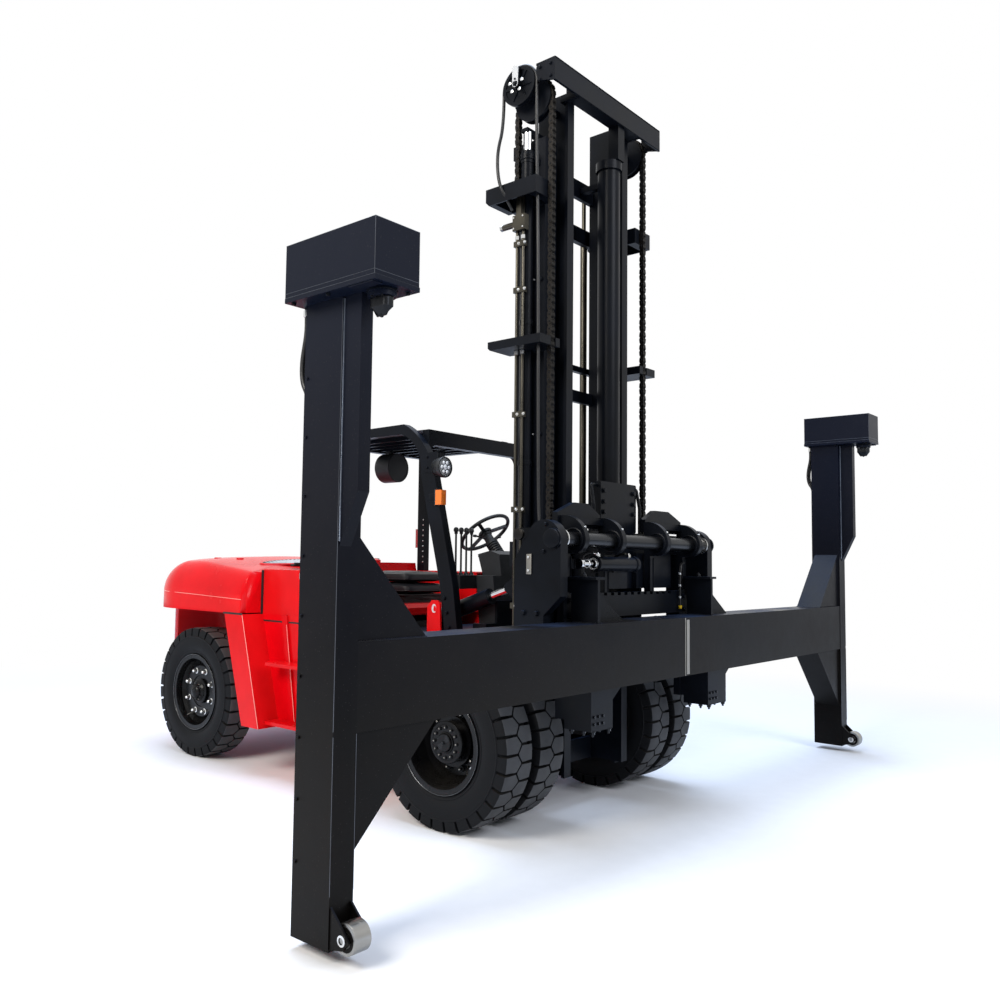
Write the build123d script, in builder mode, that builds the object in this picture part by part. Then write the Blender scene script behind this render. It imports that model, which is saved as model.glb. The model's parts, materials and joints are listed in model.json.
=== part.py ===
"""Container-handling forklift truck with a side-lift spreader frame, in millimetres.

Row frame: +X forward, +Y the truck's left, +Z up, the ground at z = 0 and the origin under the
middle of the bounding box. Truck pieces are placed on the plane `truck`, whose origin is on the
ground under the middle of the front axle; spreader pieces on `frame`, whose middle lies to the
left of the truck's middle by `frame_offset`.
"""

import math
import os

from build123d import *

# Places in the row frame
axle_x = 1195.0  # front axle ahead of the middle of the whole length
frame_offset = 285.0  # spreader's middle left of the truck's middle
truck = Plane(origin=(axle_x, -frame_offset, 0))
frame = Plane(origin=(axle_x, 0, 0))

# Running gear
wheelbase = 2770.0
tyre_r = 510.0
tyre_w = 255.0
rim_r = 292.0
drive_out = 1090.0  # outer face of the outer drive tyre
dual_gap = 60.0
steer_out = 985.0
kingpin_y = 655.0
run_gap = 6.0  # between moving pieces
pin_gap = 1.0  # round shafts and rods
seat_gap = 0.3  # pads and collars that carry a moving piece
axle_z = tyre_r

# Chassis
beam_in, beam_out = 400.0, 480.0
beam_low, beam_top = 600.0, 1080.0
beam_rear = -2240.0
floor_t = 20.0
body_half = 1060.0  # counterweight and rear fenders
hood_half = 870.0  # side panels, set in from the counterweight
hood_lid_half = 520.0
cw_rear, cw_front = -3540.0, -2030.0
arch_z = 1170.0
deck_z = 1560.0  # flat bosses under the hood hinges
panel_z = 1505.0  # top of the side panels
hood_front = -1010.0
skirt_z = 350.0
plate_t = 12.0

# Overhead guard
guard_half = 560.0
guard_side_t = 60.0
guard_top = 2550.0
guard_under = 2480.0

# Mast
mast_foot = 230.0
outer_top = 4330.0
outer_rear, outer_front = 90.0, 310.0
outer_in, outer_out = 365.0, 490.0
inner_rear, inner_front = 130.0, 400.0
inner_in, inner_out = 300.0, 370.0
inner_grip = 455.0  # rear flange, inside the outer channel
rail_t = 22.0
head_low, head_top = 4577.0, 4727.0
head_rear, head_front = 352.0, 496.0
head_half = 656.0
chain_y = 560.0
chain_rear, chain_front = 145.0, 411.0
sheave_z = 4545.0
lift_x, lift_y = 200.0, 535.0
lift_r, lift_rod_r = 40.0, 28.0
lift_foot, lift_barrel_top = 1080.0, 4240.0
free_x, free_y, free_r = 385.0, 150.0, 75.0

# Tilt cylinders
tilt_y = 430.0
tilt_eye = (40.0, 1425.0)
tilt_base = (-640.0, 1190.0)
tilt_r, tilt_rod_r = 55.0, 26.0

# Carriage
shaft_x, shaft_z, shaft_r = 700.0, 1725.0, 44.0
shaft_half = 860.0
end_in, end_out = 860.0, 930.0
carriage_low, carriage_top = 900.0, 1790.0
arm_t = 42.0
arm_places = (-705.0, -295.0, 260.0, 705.0)

# Spreader frame
post_rear, post_front = 648.0, 882.0
post_in, post_out = 2842.0, 2969.0
post_low = 47.0
box_rear, box_front = 604.0, 1155.0
box_in, box_out = 2803.0, 3050.0
box_low, box_top = 2669.0, 2918.0
beam_f_rear, beam_f_front = 660.0, 879.0
beam_f_low, beam_f_top = 879.0, 1249.0
wall = 12.0
lock_y = 2926.5  # half of the spacing of a 20 ft container's corner fittings
lock_x = 1070.0
lock_shaft_r = 28.0
roller_x, roller_z, roller_r, roller_w = 955.0, 112.0, 62.0, 84.0


def upright(base, y):
    """Plane along the truck at y: local axes forward and up, normal to the right."""
    return Plane(origin=base.origin + Vector(0, y, 0), x_dir=(1, 0, 0), z_dir=(0, -1, 0))


def facing(base, x):
    """Plane across the truck at x: local axes left and up, normal forward."""
    return Plane(origin=base.origin + Vector(x, 0, 0), x_dir=(0, 1, 0), z_dir=(1, 0, 0))


def level(base, z):
    """Horizontal plane at height z."""
    return Plane(origin=base.origin + Vector(0, 0, z), x_dir=(1, 0, 0), z_dir=(0, 0, 1))


def slab(x, y, z, mode=Mode.ADD):
    """Box between three (low, high) pairs of the pending part's own axes."""
    with Locations(((x[0] + x[1]) / 2, (y[0] + y[1]) / 2, (z[0] + z[1]) / 2)):
        Box(x[1] - x[0], y[1] - y[0], z[1] - z[0], mode=mode)


def pair(x, y, z, mode=Mode.ADD):
    """A box and its mirror image across the middle plane."""
    slab(x, y, z, mode)
    slab(x, (-y[1], -y[0]), z, mode)


def drum(axis, centre, r, length, mode=Mode.ADD):
    """Cylinder about a point, along the axis named."""
    turn = {"X": (0, 90, 0), "Y": (90, 0, 0), "Z": (0, 0, 0)}[axis]
    with Locations(Location(centre, turn)):
        Cylinder(r, length, mode=mode)


def side_plate(base, y, points, mode=Mode.ADD):
    """Plate of an (x, z) outline between two y values."""
    with BuildSketch(upright(base, y[0])) as outline:
        Polygon(*points, align=None)
    extrude(outline.sketch, amount=-(y[1] - y[0]), mode=mode)


def cross_plate(base, x, points, mode=Mode.ADD):
    """Plate of a (y, z) outline between two x values."""
    with BuildSketch(facing(base, x[0])) as outline:
        Polygon(*points, align=None)
    extrude(outline.sketch, amount=x[1] - x[0], mode=mode)


def side_pair(base, y, points, mode=Mode.ADD):
    """A side plate and its mirror image."""
    side_plate(base, y, points, mode)
    side_plate(base, (-y[1], -y[0]), points, mode)


def tube(points, r, bend=0.0):
    """Round tube along a polyline, its corners bent where a radius is given."""
    with BuildLine() as path:
        if bend:
            FilletPolyline(*points, radius=bend)
        else:
            Polyline(*points)
    with BuildSketch(Plane(origin=path.line @ 0, z_dir=path.line % 0)) as section:
        Circle(r)
    sweep(section.sketch, path=path.line)


os.makedirs("parts", exist_ok=True)

# Chassis: frame, axles and weight
with BuildPart(truck) as chassis_frame:
    pair((beam_rear, -20), (beam_in, beam_out), (beam_low, beam_top))
    slab((beam_rear, beam_rear + 90), (-beam_in, beam_in), (beam_low, beam_top))
    slab((-1820, -980), (-beam_in, beam_in), (beam_low, beam_low + floor_t))
    slab((-880, -800), (-beam_in, beam_in), (beam_low, beam_top))
    slab((-110, -20), (-beam_in, beam_in), (700, beam_top))
chassis_frame.part.label = "chassis_frame"
export_step(chassis_frame.part, "parts/chassis_frame.step")

with BuildPart(truck) as drive_axle:
    drum("Y", (0, 0, axle_z), beam_low - axle_z, 2 * 500)
    drum("Y", (0, 0, axle_z), 46, 2 * 760)
    drum("X", (-30, 0, axle_z), 175, 250)
    pair((-70, -20), (beam_in, beam_out), (axle_z + 50, beam_low))
drive_axle.part.label = "drive_axle"
export_step(drive_axle.part, "parts/drive_axle.step")

jaw_r = 58.0
jaw_low, jaw_top = 395.0, 625.0
jaw_t = 34.0
steer_mid = -wheelbase
block_low = 760.0
with BuildPart(truck) as steer_axle:
    slab((steer_mid - 75, steer_mid + 75), (-560, 560), (axle_z - 70, axle_z + 70))
    for side in (-1, 1):
        slab((steer_mid - 60, steer_mid + 60), tuple(sorted((side * 540, side * 600))),
             (jaw_low - jaw_t, jaw_top + jaw_t))
        for z in (jaw_low - jaw_t / 2, jaw_top + jaw_t / 2):
            drum("Z", (steer_mid, side * kingpin_y, z), jaw_r, jaw_t)
            slab((steer_mid - jaw_r, steer_mid + jaw_r), tuple(sorted((side * 590, side * kingpin_y))),
                 (z - jaw_t / 2, z + jaw_t / 2))
    slab((steer_mid - 60, steer_mid + 60), (-170, 170), (axle_z + 70, block_low))
    drum("Y", (steer_mid + 130, 0, axle_z), 48, 520)
    drum("Y", (steer_mid + 130, 0, axle_z), 24, 900)
    pair((steer_mid + 70, steer_mid + 130), (180, 230), (axle_z - 30, axle_z + 30))
steer_axle.part.label = "steer_axle"
export_step(steer_axle.part, "parts/steer_axle.step")

bay_rear = steer_mid - 612.0
bay_front = beam_rear
core_half = 385.0
pin_r = 17.0
# crowned deck: (x, height of the crease low on the flank, height of the deck's edge, height at the middle)
crown_rows = ((cw_rear - 10, 1318, 1545, 1598), (-2760, 1300, 1560, 1612), (cw_front + 1, 1278, 1487, 1536))
shoulder = 95.0
with BuildPart() as crown:
    for x, crease, edge, middle in crown_rows:
        with BuildSketch(facing(truck, x)):
            with BuildLine():
                foot = Polyline((body_half, crease), (body_half, arch_z - 1), (-body_half, arch_z - 1),
                                (-body_half, crease))
                bulge = (edge - crease) * 0.71
                near = ThreePointArc(foot @ 1, (-body_half + shoulder * 0.29, crease + bulge),
                                     (-body_half + shoulder, edge))
                top = ThreePointArc(near @ 1, (0, middle), (body_half - shoulder, edge))
                ThreePointArc(top @ 1, (body_half - shoulder * 0.29, crease + bulge), foot @ 0)
            make_face()
    loft(ruled=True)

with BuildPart(truck) as counterweight:
    with BuildSketch(level(truck, arch_z)) as plan:
        Polygon((cw_rear, -body_half), (cw_front, -body_half), (cw_front, body_half), (cw_rear, body_half),
                align=None)
        fillet(plan.vertices().sort_by(Axis.X)[:2], 560)
        fillet(plan.vertices().sort_by(Axis.X)[-2:], 40)
    extrude(amount=500)
    add(crown.part.moved(Location(truck.origin).inverse()), mode=Mode.INTERSECT)
    pair((cw_front - 90, cw_front), (140, 340), (1400, deck_z))
    with BuildSketch(level(truck, 380)) as low_plan:
        Polygon((cw_rear + 25, -760), (bay_rear, -760), (bay_rear, 760), (cw_rear + 25, 760), align=None)
        fillet(low_plan.vertices().sort_by(Axis.X)[:2], 110)
    extrude(amount=arch_z - 380)
    slab((bay_rear, bay_front), (-core_half, core_half), (block_low, arch_z))
    slab((bay_rear, steer_mid - 260), (-core_half, core_half), (380, block_low))
    # grille opening in the rear wall and a drawbar pocket
    slab((cw_rear - 1, cw_rear + 70), (-330, 330), (700, 1240), mode=Mode.SUBTRACT)
    slab((cw_rear - 1, cw_rear + 110), (-60, 60), (480, 600), mode=Mode.SUBTRACT)
    drum("Z", (cw_rear + 70, 0, 460), pin_r, 60, mode=Mode.SUBTRACT)
counterweight.part.label = "counterweight"
export_step(counterweight.part, "parts/counterweight.step")

with BuildPart(truck) as rear_fittings:
    pair((cw_rear + 20, cw_rear + 70), (310, 330), (700, 1240))
    for z in (700, 1220):
        slab((cw_rear + 20, cw_rear + 70), (-310, 310), (z, z + 20))
    for i in range(12):
        low = 738.0 + 40.0 * i
        side_plate(truck, (-310, 310),
                   ((cw_rear + 25, low), (cw_rear + 70, low + 22), (cw_rear + 70, low + 28),
                    (cw_rear + 25, low + 6)))
    # drawbar pin with its cross handle
    drum("Z", (cw_rear + 70, 0, 512), pin_r, 160)
    drum("Y", (cw_rear + 70, 0, 582), 8, 70)
rear_fittings.part.label = "rear_fittings"
export_step(rear_fittings.part, "parts/rear_fittings.step")

# Body sides
lid_low, lid_top = 1190.0, 1570.0
step_x = -1760.0  # where the hood steps down to the seat
seat_deck = 1270.0
lid_rear = cw_front + 12.0
hinge_x, hinge_z = cw_front + 6.0, 1590.0
tank_front = -640.0
shelf_z = 830.0
with BuildPart(truck) as body_sides:
    # rear fenders lean forward down to the skirt
    side_pair(truck, (hood_half, body_half),
              ((-2262, arch_z), (cw_front, arch_z), (-1795, skirt_z), (-2000, skirt_z)))
    side_pair(truck, (beam_out, hood_half),
              ((-2240, arch_z), (-940, arch_z), (-940, beam_top), (tank_front, beam_top),
               (tank_front, 380), (-1990, 380)))
    pair((-1800, tank_front), (hood_half, 1010), (shelf_z - 25, shelf_z))
    pair((-1800, tank_front), (hood_half, 1000), (380, 404))
    side_pair(truck, (hood_half, hood_half + 14),
              ((-1780, arch_z), (-1720, arch_z), (-1600, 404), (-1660, 404)))
body_sides.part.label = "body_sides"
export_step(body_sides.part, "parts/body_sides.step")

with BuildPart(truck) as side_panels:
    side_pair(truck, (hood_half - plate_t, hood_half),
              ((cw_front, arch_z), (cw_front, panel_z), (hood_front - 60, panel_z), (hood_front, panel_z - 60),
               (hood_front, arch_z)))
    pair((cw_front, hood_front - 60), (hood_lid_half + 6, hood_half), (panel_z - plate_t, panel_z))
    pair((cw_front, hood_front - 70), (hood_lid_half + 6, hood_lid_half + 6 + plate_t),
         (arch_z, panel_z - plate_t))
    pair((hood_front - plate_t, hood_front), (hood_lid_half + 6, hood_half), (arch_z, panel_z - 70))
    pair((hood_front - 110, hood_front - 30), (hood_lid_half - 16, hood_lid_half + 6), (arch_z, lid_low))
side_panels.part.label = "side_panels"
export_step(side_panels.part, "parts/side_panels.step")

with BuildPart(truck) as engine_hood:
    side_plate(truck, (-hood_lid_half, hood_lid_half),
               ((lid_rear, lid_low), (lid_rear, lid_top - 30), (lid_rear + 30, lid_top), (step_x, lid_top),
                (step_x + 60, seat_deck), (hood_front - 30, seat_deck), (hood_front, seat_deck - 30),
                (hood_front, lid_low)))
    side_plate(truck, (-hood_lid_half + plate_t, hood_lid_half - plate_t),
               ((lid_rear + plate_t, lid_low - 1), (lid_rear + plate_t, lid_top - 30 - plate_t),
                (lid_rear + 30, lid_top - plate_t), (step_x - plate_t, lid_top - plate_t),
                (step_x + 60 - plate_t, seat_deck - plate_t), (hood_front - 30, seat_deck - plate_t),
                (hood_front - plate_t, seat_deck - 32), (hood_front - plate_t, lid_low - 1)),
               mode=Mode.SUBTRACT)
    for i in range(5):
        x = lid_rear + 60.0 + 34.0 * i
        pair((x, x + 16), (330, 480), (lid_top - plate_t - 1, lid_top + 1), mode=Mode.SUBTRACT)
    side_pair(truck, (184, 296),
              ((hinge_x - 12, hinge_z - 8), (hinge_x - 12, hinge_z + 10), (hinge_x + 14, hinge_z + 14),
               (lid_rear + 60, hinge_z), (lid_rear + 60, lid_top - 2), (lid_rear + 30, lid_top - 2),
               (lid_rear + 4, deck_z + 1)))
    drum("Y", (hinge_x, 0, hinge_z), 8 + pin_gap, 700, mode=Mode.SUBTRACT)
engine_hood.part.label = "engine_hood"
export_step(engine_hood.part, "parts/engine_hood.step")

with BuildPart(truck) as engine:
    slab((-1760, -1060), (-290, 290), (beam_low + floor_t, 1140))
engine.part.label = "engine"
export_step(engine.part, "parts/engine.step")

with BuildPart(truck) as hood_hinges:
    for low, high in ((150, 178), (302, 330)):
        side_pair(truck, (low, high),
                  ((cw_front - 70, deck_z), (cw_front - 2, deck_z), (hinge_x + 16, hinge_z - 10),
                   (hinge_x + 16, hinge_z + 12), (hinge_x - 16, hinge_z + 16), (cw_front - 70, deck_z + 14)))
    drum("Y", (hinge_x, 240, hinge_z), 8, 180)
    drum("Y", (hinge_x, -240, hinge_z), 8, 180)
hood_hinges.part.label = "hood_hinges"
export_step(hood_hinges.part, "parts/hood_hinges.step")

# Cab
floor_top = beam_top + floor_t
cab_front = -150.0
dash_half = 360.0
pod_half = 270.0
cowl_z = 1495.0
with BuildPart(truck) as cab_floor:
    slab((hood_front + 8, cab_front), (-beam_out, beam_out), (beam_top, floor_top))
    pair((-940, tank_front - 2), (beam_out, hood_half), (beam_top, floor_top))
    slab((cab_front - 20, cab_front), (-dash_half, dash_half), (floor_top, 1330))
    slab((cab_front - 20, cab_front), (-beam_out, beam_out), (floor_top, 1180))
    pair((-260, cab_front - 20), (beam_out - 20, beam_out), (floor_top, 1180))
    # ears that hold the feet of the tilt cylinders
    for side in (-1, 1):
        for step in (-1, 1):
            y = side * tilt_y + step * 34
            side_plate(truck, (y - 8, y + 8),
                       ((tilt_base[0] - 50, floor_top), (tilt_base[0] + 50, floor_top),
                        (tilt_base[0] + 32, tilt_base[1] + 20), (tilt_base[0], tilt_base[1] + 44),
                        (tilt_base[0] - 32, tilt_base[1] + 20)))
cab_floor.part.label = "cab_floor"
export_step(cab_floor.part, "parts/cab_floor.step")

fender_z = tyre_r * 2 + 60.0
with BuildPart(truck) as front_fenders:
    side_pair(truck, (beam_out + 15, drive_out - 5),
              ((-640, 760), (-640, fender_z), (-560, fender_z + 30), (-60, fender_z + 30), (-60, fender_z + 12),
               (-552, fender_z + 12), (-622, fender_z - 14), (-622, 760)))
    pair((-560, -60), (beam_out, beam_out + 15), (fender_z - 80, fender_z + 30))
    # upright lashing bracket outside the right pillar
    side_plate(truck, (-guard_half - 46, -guard_half - 32),
               ((-560, fender_z + 29), (-436, fender_z + 29), (-446, fender_z + 225), (-470, fender_z + 245),
                (-520, fender_z + 245), (-560, fender_z + 200)))
front_fenders.part.label = "front_fenders"
export_step(front_fenders.part, "parts/front_fenders.step")

guard_out = guard_half + guard_side_t / 2
guard_in = guard_half - guard_side_t / 2
leg_x = -1690.0
guard_foot = fender_z + 30
bar_low = guard_under - 10
with BuildPart(truck) as overhead_guard:
    for y in (guard_in, -guard_out):
        with BuildSketch(upright(truck, y)) as guard_side:
            with BuildLine():
                outer = Polyline((-300, guard_foot), (-345, 1420), (-530, 2180))
                corner = TangentArc(outer @ 1, (-830, guard_top), tangent=(-185, 760))
                Polyline(corner @ 1, (leg_x - 60, guard_top - 10), (leg_x - 60, panel_z), (leg_x + 20, panel_z),
                         (leg_x + 20, guard_under - 40), (leg_x + 90, guard_under), (-860, guard_under))
                inner = Polyline((-655, 2180), (-460, 1420), (-415, guard_foot))
                ThreePointArc((-860, guard_under), (-722, 2395), inner @ 0)
                Line(inner @ 1, outer @ 0)
            make_face()
        extrude(amount=-guard_side_t)
    # front header with rounded lower corners, rear header, and bars over the driver
    with BuildSketch(facing(truck, -700)) as header:
        with Locations((0, 2450)):
            Rectangle(2 * guard_in, 100)
        for side in (-1, 1):
            with BuildLine():
                Polyline((side * guard_in, 2400), (side * guard_in, 2340), (side * (guard_in - 18), 2340))
                ThreePointArc((side * (guard_in - 18), 2340), (side * (guard_in - 36), 2382),
                              (side * (guard_in - 78), 2400))
                Line((side * (guard_in - 78), 2400), (side * guard_in, 2400))
            make_face()
    extrude(amount=60)
    slab((leg_x - 40, leg_x + 20), (-guard_in, guard_in), (guard_under - 20, guard_top - 20))
    for i in range(7):
        y = -390.0 + 130.0 * i
        slab((leg_x + 10, -690), (y - 10, y + 10), (bar_low, guard_under + 21))
    slab((leg_x - 10, -640), (-guard_in, guard_in), (guard_under + 20, guard_under + 26))
overhead_guard.part.label = "overhead_guard"
export_step(overhead_guard.part, "parts/overhead_guard.step")

with BuildPart(truck) as rear_drum:
    drum("X", (leg_x + 105, 40, 2335), 118, 150)
    slab((leg_x + 85, leg_x + 125), (-10, 30), (2430, bar_low))
rear_drum.part.label = "rear_work_lamp"
export_step(rear_drum.part, "parts/rear_work_lamp.step")

with BuildPart(truck) as dashboard:
    side_plate(truck, (-dash_half, dash_half),
               ((cab_front - 20, floor_top), (cab_front - 20, 1330), (cab_front - 41, cowl_z), (-353, cowl_z),
                (-330, 1420), (-300, floor_top)))
    side_plate(truck, (-dash_half + 30, dash_half - 30),
               ((-200, floor_top - 1), (-200, 1400), (-320, 1400), (-320, floor_top - 1)), mode=Mode.SUBTRACT)
    side_plate(truck, (-pod_half, pod_half),
               ((cab_front - 41, cowl_z - 1), (cab_front - 60, 1640), (-290, 1665), (-400, 1640),
                (-353, cowl_z - 1)))
    # cross plate between the pillars, and the lever console on it
    slab((-375, -335), (-guard_half + guard_side_t / 2 + seat_gap, guard_half - guard_side_t / 2 - seat_gap),
         (1405, cowl_z))
    side_plate(truck, (-440, -200), ((-360, cowl_z), (-530, cowl_z - 15), (-530, cowl_z - 55), (-360, 1410)))
    for i in range(4):
        y = -400.0 + 55.0 * i
        drum("Z", (-490, y, 1640), 7, 330)
        with Locations((-490, y, 1808)):
            Sphere(17)
dashboard.part.label = "dashboard"
export_step(dashboard.part, "parts/dashboard.step")

column_foot = (-330.0, 1520.0)
wheel_mid = (-560.0, 1800.0)
column_tilt = math.degrees(math.atan2(column_foot[0] - wheel_mid[0], wheel_mid[1] - column_foot[1]))
wheel_plane = Plane(origin=truck.origin + Vector(wheel_mid[0], 0, wheel_mid[1]), x_dir=(0, 1, 0),
                    z_dir=(-math.sin(math.radians(column_tilt)), 0, math.cos(math.radians(column_tilt))))
with BuildPart() as steering:
    with BuildSketch(Plane(origin=wheel_plane.origin, x_dir=wheel_plane.x_dir, z_dir=wheel_plane.y_dir)):
        with Locations((190, 0)):
            Circle(13)
    revolve(axis=Axis(wheel_plane.origin, wheel_plane.z_dir))
    with BuildSketch(wheel_plane.offset(-12)):
        Circle(52)
        for turn in (90, 210, 330):
            with Locations(Location((95 * math.cos(math.radians(turn)), 95 * math.sin(math.radians(turn))), turn)):
                Rectangle(190, 26)
    extrude(amount=16)
    with BuildSketch(wheel_plane.offset(-30)):
        Circle(40)
    extrude(amount=18)
    with BuildSketch(wheel_plane.offset(-30)):
        Circle(34)
    extrude(amount=-200)
    with BuildSketch(wheel_plane.offset(-230)):
        Circle(48)
    extrude(amount=-90)
    add(dashboard.part, mode=Mode.SUBTRACT)
steering.part.label = "steering_wheel"
export_step(steering.part, "parts/steering_wheel.step")

# Seat with its backrest folded forward onto the cushion
seat_z = seat_deck
with BuildPart(truck) as seat:
    slab((-1560, -1140), (-230, 230), (seat_z, seat_z + 60))
    slab((-1600, -1110), (-260, 260), (seat_z + 60, seat_z + 150))
    slab((-1580, -1130), (-235, 235), (seat_z + 150, seat_z + 240))
    pair((-1610, -1530), (236, 262), (seat_z + 60, seat_z + 225))
seat.part.label = "seat"
export_step(seat.part, "parts/seat.step")

lamp_y = 600.0
with BuildPart(truck) as headlamps:
    for side in (-1, 1):
        y = side * (guard_out + 45)
        drum("X", (-440, y, 2215), 72, 90)
        slab((-470, -430), tuple(sorted((side * guard_out, side * (guard_out + 60)))), (2270, 2330))
        slab((-620, -430), tuple(sorted((side * guard_out, side * (guard_out + 22)))), (2190, 2330))
        slab((-530, -470), tuple(sorted((side * guard_out, side * (guard_out + 50)))), (1950, 2080))
headlamps.part.label = "headlamps"

with BuildPart(truck) as headlamp_glass:
    for side in (-1, 1):
        drum("X", (-440 + 49, side * (guard_out + 45), 2215), 62, 8)
headlamp_glass.part.label = "headlamp_glass"

with BuildPart(truck) as turn_lamps:
    for side in (-1, 1):
        slab((-470, -415), tuple(sorted((side * (guard_out + 2), side * (guard_out + 50)))), (1965, 2065))
turn_lamps.part.label = "turn_lamps"

for part, name in ((headlamps, "headlamps"), (headlamp_glass, "headlamp_glass"), (turn_lamps, "turn_lamps")):
    export_step(part.part, f"parts/{name}.step")

with BuildPart(truck) as rear_lamps:
    for side in (-1, 1):
        slab((leg_x - 84, leg_x - 60), tuple(sorted((side * guard_in, side * guard_out))), (1700, 1860))
rear_lamps.part.label = "rear_lamps"
export_step(rear_lamps.part, "parts/rear_lamps.step")

# Wheels
def tyre_ring(base, x, y):
    """One tyre as a turned ring, out to the tread's face."""
    centre = base.origin + Vector(x, y, axle_z)
    half = tyre_w / 2
    with BuildSketch(Plane(origin=centre, x_dir=(0, 1, 0), z_dir=(1, 0, 0))) as section:
        with BuildLine():
            Polyline((half - 32, rim_r - 12), (-half + 32, rim_r - 12), (-half + 20, rim_r + 8))
            ThreePointArc((-half + 20, rim_r + 8), (-half, rim_r + 95), (-half + 14, tyre_r - 26))
            Polyline((-half + 14, tyre_r - 26), (-half + 34, tyre_r - 4), (-half + 60, tyre_r),
                     (half - 60, tyre_r), (half - 34, tyre_r - 4), (half - 14, tyre_r - 26))
            ThreePointArc((half - 14, tyre_r - 26), (half, rim_r + 95), (half - 20, rim_r + 8))
            Line((half - 20, rim_r + 8), (half - 32, rim_r - 12))
        make_face()
    revolve(section.sketch, axis=Axis(centre, (0, 1, 0)))


def rim_ring(base, x, y, side, dish, hub_r, hub_out, bore_r):
    """One disc wheel: barrel with flanges, a dished disc and a hub, outward towards side."""
    centre = base.origin + Vector(x, y, axle_z)
    half = tyre_w / 2
    lip = half - 22
    with BuildSketch(Plane(origin=centre, x_dir=(0, side, 0), z_dir=(side, 0, 0))) as section:
        Polygon((half - 32, rim_r - 12), (half - 20, rim_r + 8), (half - 8, rim_r + 8), (half - 10, rim_r - 28),
                (half - 52, rim_r - 38), (52 - half, rim_r - 38), (10 - half, rim_r - 28), (8 - half, rim_r + 8),
                (20 - half, rim_r + 8), (32 - half, rim_r - 12), align=None)
        Polygon((lip - 36, rim_r - 37), (lip - 50 - dish * 0.4, rim_r - 60), (lip - dish, 205), (lip - dish, bore_r),
                (lip - dish - 22, bore_r), (lip - dish - 22, 210), (lip - 74 - dish * 0.4, rim_r - 58),
                (lip - 70, rim_r - 37), align=None)
        if hub_r:
            Polygon((hub_out, 0.0), (hub_out, hub_r - 18), (hub_out - 18, hub_r), (lip - dish, hub_r),
                    (lip - dish, 0.0), align=None)
    revolve(section.sketch, axis=Axis(centre, (0, 1, 0)))


outer_mid = drive_out - tyre_w / 2
inner_mid = outer_mid - tyre_w - dual_gap
steer_y = steer_out - tyre_w / 2
for side, name in ((-1, "right"), (1, "left")):
    with BuildPart() as front_tyres:
        tyre_ring(truck, 0, side * outer_mid)
        tyre_ring(truck, 0, side * inner_mid)
    front_tyres.part.label = f"front_{name}_tyres"
    export_step(front_tyres.part, f"parts/front_{name}_tyres.step")
    with BuildPart(truck) as front_rims:
        rim_ring(truck, 0, side * outer_mid, side, 150, 120, 62, 60)
        rim_ring(truck, 0, side * inner_mid, -side, 190, 0.0, 0.0, 60)
        drum("Y", (0, side * (outer_mid - 45), axle_z), 130, 40)
        drum("Y", (0, side * (inner_mid + outer_mid) / 2, axle_z), 150, outer_mid - inner_mid + 10)
        drum("Y", (0, side * 760 / 2, axle_z), 46 + pin_gap, 760 + 2 * run_gap, mode=Mode.SUBTRACT)
    front_rims.part.label = f"front_{name}_rims"
    export_step(front_rims.part, f"parts/front_{name}_rims.step")
    with BuildPart() as rear_tyre:
        tyre_ring(truck, -wheelbase, side * steer_y)
    rear_tyre.part.label = f"rear_{name}_tyre"
    export_step(rear_tyre.part, f"parts/rear_{name}_tyre.step")
    with BuildPart(truck) as rear_rim:
        rim_ring(truck, -wheelbase, side * steer_y, side, 55, 78, 96, 60)
        drum("Y", (-wheelbase, side * (steer_y - 20), axle_z), 95, 120)
        drum("Y", (-wheelbase, side * (steer_y - 10), axle_z), 35 + pin_gap, 142, mode=Mode.SUBTRACT)
    rear_rim.part.label = f"rear_{name}_rim"
    export_step(rear_rim.part, f"parts/rear_{name}_rim.step")
    with BuildPart(truck) as knuckle:
        drum("Z", (-wheelbase, side * kingpin_y, axle_z), 44, jaw_top - jaw_low - 2 * seat_gap)
        drum("Y", (-wheelbase, side * (kingpin_y + steer_y + 40) / 2, axle_z), 35, steer_y + 40 - kingpin_y)
        slab((-wheelbase, -wheelbase + 150), tuple(sorted((side * kingpin_y, side * (kingpin_y + 30)))),
             (axle_z - 95, axle_z - 65))
    knuckle.part.label = f"{name}_knuckle"
    export_step(knuckle.part, f"parts/{name}_knuckle.step")

# Tilt cylinders
def tilt_point(share, lift=0.0):
    """(x, z) on the cylinder's line, share of the way from base to eye."""
    dx, dz = tilt_eye[0] - tilt_base[0], tilt_eye[1] - tilt_base[1]
    return tilt_base[0] + dx * share, tilt_base[1] + dz * share


tilt_len = math.hypot(tilt_eye[0] - tilt_base[0], tilt_eye[1] - tilt_base[1])
tilt_dir = ((tilt_eye[0] - tilt_base[0]) / tilt_len, 0, (tilt_eye[1] - tilt_base[1]) / tilt_len)
barrel_len = 520.0
with BuildPart() as tilt_barrels:
    for side in (-1, 1):
        base = truck.origin + Vector(tilt_base[0], side * tilt_y, tilt_base[1])
        line = Plane(origin=base, x_dir=(0, 1, 0), z_dir=tilt_dir)
        with BuildSketch(line.offset(90)):
            Circle(tilt_r)
        extrude(amount=barrel_len - 90)
        with BuildSketch(line):
            Rectangle(44, 70)
        extrude(amount=110)
        with BuildSketch(Plane(origin=base + Vector(0, -22, 0), x_dir=(1, 0, 0), z_dir=(0, 1, 0))):
            Circle(42)
        extrude(amount=44)
        with BuildSketch(line.offset(140)):
            Circle(tilt_rod_r + pin_gap)
        extrude(amount=barrel_len, mode=Mode.SUBTRACT)
tilt_barrels.part.label = "tilt_barrels"
export_step(tilt_barrels.part, "parts/tilt_barrels.step")

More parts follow.
